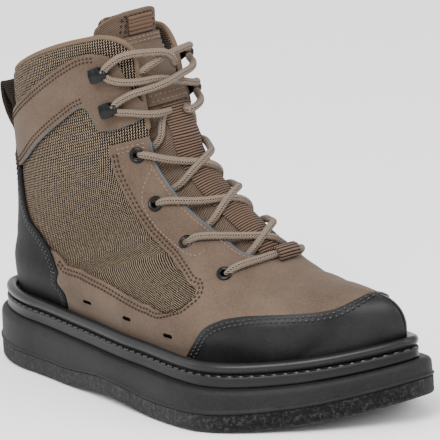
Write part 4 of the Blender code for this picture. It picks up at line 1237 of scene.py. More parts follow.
NUBUCK = nubuck_finish()
BLACK_LEATHER = black_leather_finish("black_leather_look", False)
COUNTER_LEATHER = black_leather_finish("counter_leather_look", True)
MESH = mesh_finish()
LINING = plain_cloth_finish("lining_look", (0.040, 0.029, 0.021), (0.072, 0.052, 0.038), 0.012)
CANVAS = plain_cloth_finish("canvas_look", (0.036, 0.024, 0.017), (0.125, 0.088, 0.063), 0.0105, 0.35)
WEBBING_LOOK = plain_cloth_finish("webbing_look", (0.003, 0.0018, 0.0012), (0.105, 0.066, 0.045),
                                  0.0165)
TAB_LOOK = plain_cloth_finish("tab_look", (0.003, 0.0018, 0.0012), (0.085, 0.051, 0.034), 0.024)
LOOP_LOOK = plain_cloth_finish("loop_look", (0.003, 0.002, 0.0012), (0.026, 0.017, 0.011), 0.012)
FELT_LOOK = felt_finish()
SLAB_LOOK = rubber_finish("slab_look", (0.0022, 0.0022, 0.0023), (0.0112, 0.0112, 0.0116),
                          0.62, 700.0, 0.0004)
RUBBER_LOOK = rubber_finish("rubber_look", (0.0060, 0.0060, 0.0062), (0.0125, 0.0125, 0.0130),
                            0.40, 900.0, 0.0001)
BEAD_LOOK = rubber_finish("bead_look", (0.0065, 0.0065, 0.0067), (0.0130, 0.0130, 0.0135),
                          0.34, 900.0, 0.0001)
INSOLE_LOOK = plain_cloth_finish("insole_look", (0.003, 0.003, 0.003), (0.009, 0.009, 0.009), 0.014)
LACE_LOOK = lace_finish()
METAL = plain_finish("black_metal_look", (0.0012, 0.0012, 0.0013), 0.24, 0.22)
THREAD = plain_finish("thread_look", (0.150, 0.108, 0.080), 0.85, 0.1)
DARK_THREAD = plain_finish("dark_thread_look", (0.026, 0.016, 0.011), 0.85, 0.1)
BLACK_THREAD = plain_finish("black_thread_look", (0.0085, 0.0085, 0.0087), 0.35)
# Grey, for small painted highlights on the black stitches in the welt's channel.
STITCH_GLINT = plain_finish("stitch_glint_look", (0.060, 0.058, 0.056), 0.5)
EDGE_PAINT = plain_finish("edge_look", (0.040, 0.053, 0.064), 0.45, 0.2)
PIPING = plain_finish("piping_look", (0.105, 0.071, 0.049), 0.9, 0.1)
# Near black: painted shade inside the drain slits and the eyelets' holes.
HOLE_SHADE = plain_finish("hole_shade_look", (0.0015, 0.0015, 0.0015), 1.0, 0.0)


# Tubes and stitches


# The narrowest that a cord gets at its ends, as a share of its radius.
SMALLEST_END = 0.05


def path_frame(points):
    """Directions ahead, aside and up along a path, without twisting."""
    ahead = np.gradient(points, axis=0)
    ahead /= np.maximum(np.linalg.norm(ahead, axis=1), 1e-12)[:, None]
    aside = np.zeros_like(points)
    start = np.cross(ahead[0], [0.0, 0.0, 1.0])
    if np.linalg.norm(start) < 0.1:
        start = np.cross(ahead[0], [0.0, 1.0, 0.0])
    aside[0] = start / np.linalg.norm(start)
    for i in range(1, len(points)):
        turned = aside[i - 1] - ahead[i] * np.dot(aside[i - 1], ahead[i])
        aside[i] = turned / np.linalg.norm(turned)
    return ahead, aside, np.cross(ahead, aside)


def smooth_path(points, step):
    """A smooth course through points, with a point about every step."""
    points = np.array(points, float)
    gaps = np.sqrt(np.linalg.norm(np.diff(points, axis=0), axis=1))
    knots = np.concatenate([[0], np.cumsum(gaps)])
    slopes = np.gradient(points, knots, axis=0)
    made = []
    for i in range(len(points) - 1):
        span = knots[i + 1] - knots[i]
        count = max(2, int(np.linalg.norm(points[i + 1] - points[i]) / step))
        for t in np.linspace(0, 1, count, endpoint=False):
            made.append((1 + 2 * t) * (1 - t) ** 2 * points[i]
                        + t * (1 - t) ** 2 * span * slopes[i]
                        + t * t * (3 - 2 * t) * points[i + 1]
                        + t * t * (t - 1) * span * slopes[i + 1])
    made.append(points[-1])
    return np.array(made)


def tube(name, points, radius, finish, sides=12):
    """A round cord through points, with its length and turn kept as UVs. Its ends are rounded."""
    points = np.array(points, float)
    _, aside, up = path_frame(points)
    lengths = run_lengths(points)
    vertices = []
    uvs = []
    for i, point in enumerate(points):
        near = min(1.0, min(lengths[i], lengths[-1] - lengths[i]) / radius)
        shrink = math.sqrt(max(0.0, 1 - (1 - near) ** 2))
        for k in range(sides + 1):
            turn = 2 * math.pi * k / sides
            out = (aside[i] * math.cos(turn) + up[i] * math.sin(turn)) * radius
            vertices.append(point + out * max(shrink, SMALLEST_END))
            uvs.append((k / sides, lengths[i] * DECIMETRES))
    faces = grid_faces(len(points), sides + 1)
    faces.append(tuple(range(sides)))
    last = (len(points) - 1) * (sides + 1)
    faces.append(tuple(last + k for k in range(sides)))
    return mesh_object(name, vertices, faces, [finish], uvs, merge=1e-6)


# A stitch from end to end: place along its length, thickness and rise as shares of its radius.
STITCH_RINGS = (
    (-0.5, 0.25, -0.6),
    (-0.3, 0.85, 0.1),
    (0.0, 1.0, 0.45),
    (0.3, 0.85, 0.1),
    (0.5, 0.25, -0.6),
)
STITCH_SIDES = 6


def stitch_rows(name, paths, pitch, length, radius, finish, slot):
    """Rows of stitches: each a short rounded thread that dips at both ends.

    paths are pairs of points and outward directions.
    """
    vertices = []
    faces = []
    turns = [2 * math.pi * k / STITCH_SIDES for k in range(STITCH_SIDES)]
    for points, outward in paths:
        lengths = run_lengths(points)
        count = max(1, int(lengths[-1] / pitch))
        for at in (np.arange(count) + 0.5) * lengths[-1] / count:
            middle = points_at(at, lengths, points)
            ahead = (points_at(min(at + length / 2, lengths[-1]), lengths, points)
                     - points_at(max(at - length / 2, 0), lengths, points))
            ahead /= max(np.linalg.norm(ahead), 1e-9)
            normal = points_at(at, lengths, outward)
            normal -= ahead * np.dot(normal, ahead)
            normal /= max(np.linalg.norm(normal), 1e-9)
            aside = np.cross(ahead, normal)
            start = len(vertices)
            for along, thick, rise in STITCH_RINGS:
                centre = middle + ahead * along * length + normal * rise * radius
                vertices += [centre + (aside * math.cos(t) + normal * math.sin(t)) * radius * thick
                             for t in turns]
            faces += ring_faces(len(STITCH_RINGS), STITCH_SIDES, start)
            end = len(vertices) - STITCH_SIDES
            faces.append(tuple(start + k for k in range(STITCH_SIDES)))
            faces.append(tuple(end + k for k in range(STITCH_SIDES)))
    dress(mesh_object(name, vertices, faces, [finish]), slot)


def even_line(points, step):
    """The same course with points evenly apart."""
    lengths = run_lengths(points)
    at = np.linspace(0, lengths[-1], max(4, int(lengths[-1] / step) + 1))
    return points_at(at, lengths, points)


def eased_line(points, times):
    """The same course with its corners rounded; its ends stay."""
    for _ in range(times):
        points = points.copy()
        points[1:-1] = 0.5 * points[1:-1] + 0.25 * (points[:-2] + points[2:])
    return points


def line_over(rows, side, inset, lift, times=12):
    """A line over the form from rows of section and share, moved aside by an inset.

    Returns its points, a lift over the form, and the outward directions there.
    """
    width = float(sample(TABLES[side][2], 7.0, 1.0))
    numbers, shares = [finer(column, 6) for column in zip(*rows)]
    flat = even_line(np.column_stack([numbers * SECTION_PITCH, shares * width]), MILLIMETRE)
    numbers = flat[:, 0] / SECTION_PITCH
    shares = flat[:, 1] / width
    base = eased_line(form_point(numbers, shares, side, np.zeros(len(numbers))), times)
    normal = form_point(numbers, shares, side, np.full(len(numbers), 0.01)) - base
    normal /= np.linalg.norm(normal, axis=1)[:, None]
    ahead = np.gradient(base, axis=0)
    ahead /= np.maximum(np.linalg.norm(ahead, axis=1), 1e-9)[:, None]
    aside = np.cross(normal, ahead) * -side
    line = eased_line(base + aside * inset, times)
    return line + normal * lift, normal


# Pieces of the sole


def ring_stack(name, layers, finish, steps=SOLE_STEPS, shake=None):
    """A closed body from rings one above the other: inset at heel and toe, height function."""
    vertices = []
    uvs = []
    for inset_heel, inset_toe, height in layers:
        lateral, medial = outline(inset_heel, inset_toe, steps)
        ring = np.concatenate([lateral, medial[-2:0:-1]])
        z = height(ring[:, 0])
        vertices.extend(np.column_stack([ring, z]))
        uvs.extend(zip(run_lengths(ring) * DECIMETRES, z * DECIMETRES))
    if shake is not None:
        vertices = shake(np.array(vertices))
    size = 2 * steps
    faces = ring_faces(len(layers), size)
    top = (len(layers) - 1) * size
    for i in range(steps):
        corners = [i, i + 1, size - i - 1, (size - i) % size]
        faces.append([top + k for k in corners])
        faces.append(list(reversed(corners)))
    return mesh_object(name, vertices, faces, [finish], uvs)


# The felt's cut edge: how uneven it is, and where that starts over its underside.
FIBRE_DEPTH = 0.00016
FIBRE_START = 0.0012


def fibres(vertices):
    """The felt's cut edge, a little uneven."""
    shaken = vertices.copy()
    x, y, z = vertices.T
    wave = (np.sin(x * 2100 + 1.3 * np.sin(z * 1900)) * np.sin(z * 2300 + y * 1700)
            + 0.6 * np.sin(y * 3100 + z * 900))
    edge = z > FIBRE_START + ground(x)
    shaken[:, 1] += np.where(edge, np.sign(y + 0.004) * FIBRE_DEPTH * wave, 0)
    return shaken


# The felt's rounded foot: inset and height. Its side above has one inset.
FELT_FOOT = (
    (0.0022, 0.0000),
    (0.0012, 0.0004),
)
FELT_INSET = 0.0007
FELT_STEPS = 220


def make_felt():
    """The felt layer, from its rounded foot up."""
    layers = [(inset, inset, above(ground, lift)) for inset, lift in FELT_FOOT]
    for share in np.linspace(0.12, 1.0, 9):
        layers.append((FELT_INSET, FELT_INSET, above(ground, share * FELT_THICKNESS)))
    felt = ring_stack("felt_sole", layers, FELT_LOOK, FELT_STEPS, fibres)
    dress(felt, "felt", "outsole_felt")


# The slab's lip at its foot: inset and height over the felt.
SLAB_LIP = (
    (0.0016, 0.0000),
    (0.0006, 0.0002),
    (0.0001, 0.0008),
    (0.0000, 0.0014),
    (0.0003, 0.0020),
    (0.0009, 0.0024),
    (0.0010, 0.0030),
)
SLAB_SIDE_INSET = 0.0011
SLAB_SIDE_DROP = 0.0080
# The soft ledge at its top: where it starts, how far in it runs and how far down.
LEDGE_START = 0.0012
LEDGE_REACH = 0.0034
LEDGE_DEPTH = 0.0046


def make_slab():
    """The rubber slab, from its lip up to its ledge."""
    layers = [(inset, inset, above(felt_top, GAP + lift)) for inset, lift in SLAB_LIP]
    layers.append((SLAB_SIDE_INSET, SLAB_SIDE_INSET, above(slab_top, -SLAB_SIDE_DROP)))
    for turn in np.radians(np.linspace(0, 90, 8)):
        inset = LEDGE_START + LEDGE_REACH * (1 - math.cos(turn))
        layers.append((inset, inset, above(slab_top, -LEDGE_DEPTH * (1 - math.sin(turn)))))
    dress(ring_stack("sole_slab", layers, SLAB_LOOK), "slab", "midsole")


# The rand's side: inset, and height as a share of the rand's.
RAND_LOOK_SIDE = (
    (0.0006, 0.00),
    (0.0001, 0.04),
    (0.0000, 0.16),
    (0.0002, 0.24),
    (0.0003, 0.40),
    (0.0002, 0.62),
    (0.0000, 0.74),
    (0.0001, 0.84),
    (0.0005, 0.90),
    (0.0012, 0.90),
    (0.0016, 0.72),
    (0.0029, 0.72),
    (0.0033, 0.98),
)


def make_rand_look():
    """The rubber band over the slab."""
    layers = []
    for inset, share in RAND_LOOK_SIDE:
        lift = GAP + share * (RAND_HEIGHT - GAP)
        layers.append((WELT_INSET_HEEL + inset, WELT_INSET_TOE + inset, above(slab_top, lift)))
    dress(ring_stack("rand_strip", layers, RUBBER_LOOK), "rubber", "rand")


def welt_ring(out, lift):
    """A closed line along the welt, moved out and up from its middle."""
    radius = WELT_DIAMETER / 2
    lateral, medial = outline(WELT_INSET_HEEL + radius - out, WELT_INSET_TOE + radius - out,
                              SOLE_STEPS)
    ring = np.concatenate([lateral, medial[-2:0:-1], lateral[:1]])
    return np.column_stack([ring, deck(ring[:, 0]) + lift])


def make_bead():
    """The rounded bead over the rand."""
    radius = WELT_DIAMETER / 2
    sides = 16
    vertices = []
    uvs = []
    for k in range(sides + 1):
        turn = 2 * math.pi * k / sides
        ring = welt_ring(radius * math.cos(turn), GAP + radius * (1 + math.sin(turn)))
        vertices.extend(ring)
        uvs.extend((i / len(ring), k / sides) for i in range(len(ring)))
    faces = grid_faces(sides + 1, 2 * SOLE_STEPS + 1)
    bead = mesh_object("welt_tube", vertices, faces, [BEAD_LOOK], uvs, merge=1e-6)
    dress(bead, "rubber", "welt_bead")


CHANNEL_PITCH = 0.0064


def make_channel_stitches():
    """The stitches that show in the channel between the rand and the bead, each with a small grey mark
    as a painted highlight.
    """
    radius = WELT_DIAMETER / 2
    line = welt_ring(radius - 0.0011, -0.0007)
    outward = welt_ring(radius + 0.01, 0.004) - line
    stitch_rows("channel_stitches", [(line, outward)], CHANNEL_PITCH, 0.0046, 0.0008, BLACK_THREAD,
                "rubber")
    # A short grey mark over the middle of each stitch: a painted highlight on the black thread.
    knots = welt_ring(radius - 0.0007, -0.0003)
    stitch_rows("channel_stitch_glints", [(knots, outward)], CHANNEL_PITCH, 0.0010, 0.00035, STITCH_GLINT,
                "rubber")


# The footbed's side: inset at the heel and at the toe, height over the deck.
INSOLE_SIDE = (
    (0.0024, 0.0040, GAP),
    (0.0010, 0.0034, INSOLE_THICKNESS + 0.0012),
    (0.0014, 0.0038, INSOLE_THICKNESS + 0.0021),
    (0.0022, 0.0048, INSOLE_THICKNESS + 0.0024),
    (0.0034, 0.0062, INSOLE_THICKNESS + 0.0021),
    (0.0060, 0.0090, INSOLE_THICKNESS + 0.0006),
    (0.0080, 0.0110, INSOLE_THICKNESS),
)
INSOLE_STEPS = 90


def make_insole_look():
    """The footbed, with a raised rim."""
    gap = WALL + 2 * GAP
    heel = UPPER_INSET_HEEL + gap + 0.0015
    toe = UPPER_INSET_TOE + gap
    layers = [(heel + back, toe + front, above(deck, lift)) for back, front, lift in INSOLE_SIDE]
    insole = ring_stack("insole_foam", layers, INSOLE_LOOK, INSOLE_STEPS)
    dress(insole, "insole_foam", "insole")


# Pieces of the upper

COLLAR_ROUND = 0.0042
# Soft round folds of a worn upper: depth, section and its spread, share of the arc and its spread.
ROUND_FOLDS = (
    (-0.0010, 5.2, 0.55, 0.60, 0.22),
    (0.0008, 3.7, 0.7, 0.55, 0.3),
)
# Folds at the toe's bend: depth, section at a share of 0.8, slant, spread, share where they start.
BEND_FOLDS = (
    (-0.0008, 10.6, 1.2, 0.22, 0.45),
    (-0.0006, 11.5, 0.9, 0.20, 0.5),
)


def creases(number, share):
    """How far the folds move the surface in or out."""
    total = 0.0
    for depth, section, spread, middle, reach in ROUND_FOLDS:
        along = np.exp(-((number - section) / spread) ** 2)
        total = total + depth * along * np.exp(-((share - middle) / reach) ** 2)
    for depth, section, slant, spread, start in BEND_FOLDS:
        along = np.exp(-((number - section + slant * (share - 0.8)) / spread) ** 2)
        total = total + depth * along * np.clip((share - start) / 0.2, 0, 1)
    return total


# Rows close together where the collar's rim turns in.
RIM_ROWS = [0, 0.02, 0.05, 0.09, 0.14, 0.19]
# The rim keeps this share of its roundness where the collar isn't padded.
RIM_SHARE = 0.35
# The collar's padding: how far forward it reaches and fades, how far down and fades.
PADDING_FRONT = 0.36
PADDING_FRONT_FADE = 0.025
PADDING_DEPTH = 0.012
PADDING_DEPTH_FADE = 0.035


def make_upper_look():
    """The mesh upper with its lining and its padded collar."""
    rows = np.unique(np.concatenate([RIM_ROWS, finer(ROWS, ROW_PARTS)]))
    columns = finer(COLUMNS, COLUMN_PARTS)

    def lift(number, share):
        depth = np.clip(1 - number * SECTION_PITCH / COLLAR_ROUND, 0, 1)
        padded = np.clip((1 - share) / 0.25, 0, 1)
        rounded = RIM_SHARE + (1 - RIM_SHARE) * padded
        return -COLLAR_ROUND * (1 - np.sqrt(1 - depth ** 2)) * rounded + creases(number, share)

    obj = shell("upper_cloth", rows, columns, lambda n, s: (n, s), lift, [MESH, LINING])
    group = obj.vertex_groups.new(name="padding")
    back, front = form_point(np.array([0.0, 0.0]), np.array([0.0, 1.0]), -1, np.zeros(2))
    slope = (front[2] - back[2]) / (front[0] - back[0])
    for v in obj.data.vertices:
        below = back[2] + slope * (v.co.x - back[0]) - v.co.z
        behind = np.clip((x_at(PADDING_FRONT) - v.co.x) / PADDING_FRONT_FADE, 0, 1)
        near_top = np.clip(1 - (below - PADDING_DEPTH) / PADDING_DEPTH_FADE, 0, 1)
        group.add([v.index], float(near_top * behind), "REPLACE")
    solid = wall(obj, COLLAR_PADDING, -1.0, 0.0, 1)
    solid.vertex_group = group.name
    solid.thickness_vertex_group = WALL / COLLAR_PADDING
    solid.use_rim = True
    dress(obj, "mesh_cloth", "upper")


def form_line(numbers, shares, side, lift):
    """Points over the form at one lift."""
    numbers, shares = np.broadcast_arrays(np.asarray(numbers, float), np.asarray(shares, float))
    return form_point(numbers, shares, side, np.full(len(numbers), lift))


def make_piping():
    """The rolled tape on the collar's rim and down the throat's two edges."""
    for side, label in SIDES:
        top = form_line(0.0, np.linspace(0, 0.985, 60), side, -0.0026)
        front = form_line(np.linspace(0.10, 2.42, 30), 1.0, side, -0.0006)
        line = smooth_path(np.concatenate([top[::3], front[::2]]), 0.002)
        dress(tube("piping_" + label, line, 0.0017, PIPING, 10), "nubuck")


def make_edge_lines():
    """The painted cut edge of the leather along the throat."""
    numbers = np.unique(np.concatenate([np.linspace(2.5, 9.0, 60), np.linspace(9.0, 9.34, 14)]))
    for side, label in SIDES:
        line = form_line(numbers, 1.0, side, 0.0019)
        dress(tube("throat_edge_" + label, line, 0.0009, EDGE_PAINT, 8), "nubuck")


def make_strap_lines():
    """The painted edge of the strap, along its foot and its end beside the throat."""
    for side, label in SIDES:
        rows = table_rows(STRAP_FOOT, 0.30, 1.0, True)
        line, _ = line_over(rows, side, 0.0, 0.0015, 4)
        dress(tube("strap_edge_" + label, line, 0.0006, EDGE_PAINT, 8), "nubuck")


def overlay(name, grid, finish, size, slot, node, lift, keep=None):
    """A piece of leather over the upper: grid is its rows, columns and where they lie.

    size is its thickness and how far its edges are rounded.
    """
    thickness, soft = size
    obj = shell(name, *grid, lift, [finish], keep)
    wall(obj, thickness, 1.0, soft)
    dress(obj, slot, node)


def on_upper(number, _):
    """The lift of an overlay that lies close on the upper."""
    return np.full(np.shape(number), OVERLAY_GAP)


def make_counter_look():
    """The black leather round the heel."""
    numbers = np.linspace(COUNTER_EDGE[0][0], COUNTER_EDGE[-1][0], 70)

    def place(number, share):
        return number, share * float(counter_edge(number))

    overlay("heel_piece", (numbers, np.linspace(0, 1, 30), place), COUNTER_LEATHER,
            (COUNTER_THICKNESS, 0.0005), "black_leather", "heel_counter", on_upper)


def make_cap_look():
    """The black leather over the toe, from its rear edge forward."""

    def place(step, share):
        first = float(cap_edge(share))
        return first + (LAST - first) * step, share

    overlay("toe_piece", (np.linspace(0, 1, 60), np.linspace(0, 1, 70), place), BLACK_LEATHER,
            (COUNTER_THICKNESS, 0.0006), "black_leather", "toe_cap", on_upper)


# How wide the lower leather starts beside the counter, for each section after the first.
FOOT_TAPER = 0.20
# The step of the leather's grid between its lower part and the eyestay.
SPLIT = 0.5
# The last row of the leather, under the toe cap, and how far it reaches below the cap's edge.
LEATHER_LAST = 13.8
CAP_OVERLAP = 0.02
# How the leather dips under the heel counter: share of the arc, depth.
TUCK = 0.014
TUCK_DEPTH = 0.0008


def leather_place(number, step):
    """The lower leather for steps up to the split, the eyestay beyond it.

    Both meet at the panel's end.
    """
    low = 0.0
    foot = head = PANEL_FOOT[-1][1]
    if number < PANEL_END:
        head = float(panel_head(number))
        low = max(float(counter_edge(number)) - EDGE_STEP, 0.0)
        tip = low + EDGE_STEP + max(0.0, number - PANEL_FOOT[0][0]) * FOOT_TAPER
        foot = min(max(low, float(panel_foot(number))), tip)
    if step <= SPLIT:
        share = low + (foot - low) * step / SPLIT
    else:
        share = head + (1 - head) * (step - SPLIT) / (1 - SPLIT)
    return min(number, float(cap_edge(share)) + CAP_OVERLAP), share


def make_leather_look():
    """The nubuck of vamp, quarters and eyestays, round the mesh panel."""
    head_start = PANEL_HEAD[0][0]
    foot_start = PANEL_FOOT[0][0]
    counter_end = COUNTER_EDGE[-1][0]
    rows = sorted([head_start, foot_start]
                  + [n for n in finer(ROWS, ROW_PARTS) if head_start < n < LEATHER_LAST]
                  + list(np.linspace(9.13, PANEL_END, 26)))
    columns = np.concatenate([
        np.linspace(0, SPLIT, 24), [SPLIT + 1e-6], np.linspace(SPLIT, 1, 28)[1:]])

    def keep(number, step):
        if number >= PANEL_END:
            return True
        if step == SPLIT:
            return False
        return step > SPLIT or number >= foot_start

    def lift(number, share):
        edge = counter_edge(np.minimum(number, counter_end))
        tucked = np.clip((edge + TUCK - share) / TUCK, 0, 1) * (number < counter_end)
        return OVERLAY_GAP + GAP + creases(number, share) - TUCK_DEPTH * tucked

    overlay("nubuck_vamp", (rows, columns, leather_place), NUBUCK, (OVERLAY, 0.0005), "nubuck",
            "leather_vamp_and_quarters", lift, keep)


def make_strap_look():
    """The nubuck strap round the collar; its columns meet the corners of its edges."""
    rows = finer([0.25, 0.6, 1.0, 1.5, 2.0, 2.35], 9)
    columns = sorted(list(finer(COLUMNS, COLUMN_PARTS)) + [0.215, 0.77, 0.79, 0.96])

    def place(number, share):
        return min(max(number, float(strap_head(share))), float(strap_foot(share))), share

    overlay("ankle_strap", (rows, columns, place), NUBUCK, (OVERLAY, 0.0005), "nubuck",
            "collar_strap", on_upper)


def table_rows(table, first, last, flip=False):
    """Section and share along an edge of a table, flipped where its share comes first."""
    value = ease(table, 1)
    at = np.linspace(first, last, 24)
    if flip:
        return [(float(value(s)), s) for s in at]
    return [(n, float(value(n))) for n in at]


def both_sides(rows, insets, lift):
    """The same lines beside an edge on the outer and on the inner side."""
    return [line_over(rows, side, inset, lift) for side, _ in SIDES for inset in insets]


def panel_outline():
    """The mesh panel's edge from the counter along its foot, round its front end and up its head."""
    foot = table_rows(PANEL_FOOT, 5.55, 9.66)
    head = table_rows(PANEL_HEAD, 2.62, 9.66)
    return foot + [(9.82, 0.5 * (foot[-1][1] + head[-1][1]))] + list(reversed(head))


# The trim line of stitches over the eyestay: section, share of the arc.
EYESTAY_TRIM = (
    (3.29, 0.985),
    (3.64, 0.942),
    (4.09, 0.900),
    (4.61, 0.884),
    (6.12, 0.885),
    (7.08, 0.880),
    (7.75, 0.868),
    (8.05, 0.872),
    (8.12, 0.888),
    (7.87, 0.925),
)
# How far thread lies over the leather, and how far from an edge the two rows of a seam run.
THREAD_LIFT = 0.0001
SEAM = (0.0022, 0.0046)
STRAP_SEAM = (0.0022, 0.0044)
COUNTER_SEAM = (0.0024, 0.0042)
THROAT_SEAM = 0.0026


def inward(seam):
    """Insets of a seam on the leather's side of an edge."""
    return [-inset for inset in seam]


def make_panel_stitches():
    """The double seam round the mesh panel."""
    rows = both_sides(panel_outline(), inward(SEAM), LEATHER_FACE + THREAD_LIFT)
    stitch_rows("panel_stitches", rows, 0.0030, 0.0021, 0.00050, DARK_THREAD, "nubuck")


def make_eyestay_stitches():
    """The row beside the throat, two short rows at the eyestay's top and its curved trim line."""
    face = LEATHER_FACE + THREAD_LIFT
    first = PANEL_HEAD[0][0]
    rows = []
    for side, _ in SIDES:
        throat = [(n, 1.0) for n in np.linspace(2.85, 8.9, 30)]
        rows.append(line_over(throat, side, -THROAT_SEAM, face))
        for below in (0.11, 0.21):
            top = [(first + below, s) for s in np.linspace(0.86, 0.98, 6)]
            rows.append(line_over(top, side, 0.0, face))
        rows.append(line_over(EYESTAY_TRIM, side, 0.0, face, 40))
    stitch_rows("eyestay_stitches", rows, 0.0028, 0.0019, 0.00042, THREAD, "nubuck")


def make_strap_stitches():
    """Double seams along the strap's head and foot."""
    face = STRAP_FACE + THREAD_LIFT
    rows = both_sides(table_rows(STRAP_HEAD, 0.0, 0.84, True), inward(STRAP_SEAM), face)
    rows += both_sides(table_rows(STRAP_FOOT, 0.22, 0.74, True), STRAP_SEAM, face)
    stitch_rows("strap_stitches", rows, 0.0028, 0.0020, 0.00045, DARK_THREAD, "nubuck")


def make_black_stitches():
    """Double seams along the rear edge of the toe cap and the front edge of the counter."""
    face = OVERLAY_GAP + COUNTER_THICKNESS + THREAD_LIFT
    cap = both_sides(table_rows(CAP_EDGE, 0.02, 1.0, True), inward(SEAM), face)
    stitch_rows("cap_stitches", cap, 0.0034, 0.0025, 0.00055, BLACK_THREAD, "black_leather")
    counter = both_sides(table_rows(COUNTER_EDGE, 1.95, 8.45), inward(COUNTER_SEAM), face)
    stitch_rows("counter_stitches", counter, 0.0030, 0.0021, 0.00045, BLACK_THREAD,
                "black_leather")


# The drain slits, low on both quarters: section, share of the arc.
DRAIN_SLITS = (
    (8.42, 0.286),
    (9.46, 0.238),
    (10.45, 0.201),
)
SLIT_HALF = 0.0042
SLIT_RADIUS = 0.0012
SLIT_SINK = 0.0004
SLIT_SLOPE = -0.02


def make_drain_slits():
    """Slits painted near black as the shade inside them, low on both quarters, that run along the
    sole.
    """
    step = 0.01
    for side, label in SIDES:
        for number, (row, share) in enumerate(DRAIN_SLITS):
            base = form_point(np.array([row, row]), np.array([share, share]), side,
                              np.array([0, step]))
            normal = (base[1] - base[0]) / step
            ahead = form_line([row + 0.1], [share], side, 0.0)[0] - base[0]
            ahead = np.array([ahead[0], ahead[1], SLIT_SLOPE * abs(ahead[0])])
            ahead -= normal * np.dot(ahead, normal)
            ahead /= np.linalg.norm(ahead)
            middle = base[0] + normal * (LEATHER_FACE - SLIT_SINK)
            line = [middle + ahead * t * SLIT_HALF for t in np.linspace(-1, 1, 9)]
            name = "drain_slit_%s_%d" % (label, number + 1)
            dress(tube(name, line, SLIT_RADIUS, HOLE_SHADE, 10), "nubuck")


# The tongue


def tongue_grid(levels, shares, lift):
    """Points of the tongue's face at levels and shares of its reach."""
    rows = []
    for level in levels:
        row = []
        for share in shares:
            reach = tongue_reach(level, share)
            row.append(tongue_face(level, share * reach, lift(level, share, reach)))
        rows.append(row)
    return np.array(rows)


def open_grid(name, grid, finish):
    """An open surface through a grid of points, with its lengths as UVs."""
    rows, columns = grid.shape[:2]
    along = run_lengths(grid[:, columns // 2]) * DECIMETRES
    over = np.zeros((rows, columns))
    over[:, 1:] = np.cumsum(np.linalg.norm(np.diff(grid, axis=1), axis=2), axis=1)
    over = (over - over[:, columns // 2][:, None]) * DECIMETRES
    uvs = [(over[i, k], along[i]) for i in range(rows) for k in range(columns)]
    obj = mesh_object(name, grid.reshape(-1, 3), grid_faces(rows, columns), [finish], uvs)
    return turn_out(obj, lambda c, n: 1.0 if n.x + n.z > 0 else -1.0)


def face_line(places, lift, over):
    """A line over the tongue's face at levels and arcs, and the way outward from it."""
    line = np.array([tongue_face(level, around, lift) for level, around in places])
    return line, np.array([tongue_face(level, around, over) for level, around in places]) - line


TONGUE_ROUND = 0.0030
TONGUE_EDGE = 0.0012
# How wide the rounded rim is over the tongue's top, for each level.
TOP_RIM = 0.012
# The gathers beside the webbing: the level where they start, how far out, height, how close.
GATHER_LEVEL = 2.3
GATHER_START = 0.011
GATHER_REACH = 0.004
GATHER_HEIGHT = 0.0006
GATHER_TURN = 21.0
# The dent along the seam round the tongue's top.
SEAM_LEVEL = 1.9
SEAM_INSET = 0.0060
SEAM_SPREAD = 0.0012
SEAM_DENT = 0.0006
# The two rows of stitches there: inset, and how they turn down at the corners.
TOP_SEAM = (0.0042, 0.0066)
TOP_SEAM_PITCH = 0.0125
TOP_CORNER = 0.86
TOP_CORNER_DROP = 0.55


def tongue_relief(level, share, reach):
    """The rounded rim, the gathers and the seam's dent of the tongue's face."""
    from_edge = min((1 - abs(share)) * reach, (level + 1.0) * TOP_RIM)
    depth = min(max(1 - from_edge / TONGUE_ROUND, 0), 1)
    total = -TONGUE_ROUND * (1 - math.sqrt(1 - depth * depth))
    beside = abs(share * reach) - GATHER_START
    if level > GATHER_LEVEL and beside > 0:
        total += GATHER_HEIGHT * math.sin(level * GATHER_TURN) * min(1.0, beside / GATHER_REACH)
    if level < SEAM_LEVEL:
        total -= SEAM_DENT * math.exp(-((from_edge - SEAM_INSET) / SEAM_SPREAD) ** 2)
    return total


def make_tongue_look():
    """The padded tongue, and the seam round its top."""
    levels = np.unique(np.concatenate([np.linspace(-1, -0.8, 10), np.linspace(-0.8, 2.0, 36),
                                       np.linspace(2.0, 9.9, 70)]))
    shares = np.sin(np.linspace(-math.pi / 2, math.pi / 2, 41))
    obj = open_grid("tongue_cloth", tongue_grid(levels, shares, tongue_relief), CANVAS)
    wall(obj, TONGUE_THICKNESS, -1.0, TONGUE_EDGE)
    dress(obj, "tongue_cloth", "tongue")
    rows = []
    for inset in TOP_SEAM:
        places = []
        for turn in np.linspace(-1, 1, 60):
            corner = max(0.0, abs(turn) - TOP_CORNER) / (1 - TOP_CORNER)
            level = -1.0 + inset / TOP_SEAM_PITCH + TOP_CORNER_DROP * corner
            places.append((level, turn * (tongue_reach(-0.85, turn) - inset)))
        rows.append(face_line(places, THREAD_LIFT, THREAD_LIFT + 0.01))
    stitch_rows("tongue_stitches", rows, 0.0033, 0.0023, 0.0005, DARK_THREAD, "tongue_cloth")


def trim_grid(levels, half_width, lift):
    """Points over the middle of the tongue's face, at levels and shares of a half width."""
    return np.array([[tongue_face(level, half_width * share, lift(level, share))
                      for share in np.linspace(-1, 1, 33)] for level in levels])


PANEL_LEVELS = (0.0, 1.97)
# The oval recess: its middle, half its width and half its height in levels.
PATCH_LEVEL = 1.02
PATCH_HALF_WIDTH = 0.0105
PATCH_HALF_HEIGHT = 0.36
# How deep the recess is, how high its rim and the bars across both ends of the panel are.
PATCH_DEPTH = 0.0007
RIM_HEIGHT = 0.0005
BAR_HEIGHT = 0.0007
BAR_REACH = 0.30
# The stitches: the levels of those across, how far those reach, where the ones along lie.
BAR_STITCHES = (0.10, 0.24, 1.74, 1.87)
BAR_STITCH_HALF = 0.0148
SIDE_STITCH = 0.0152
STITCH_LOOK_OUT = 0.02


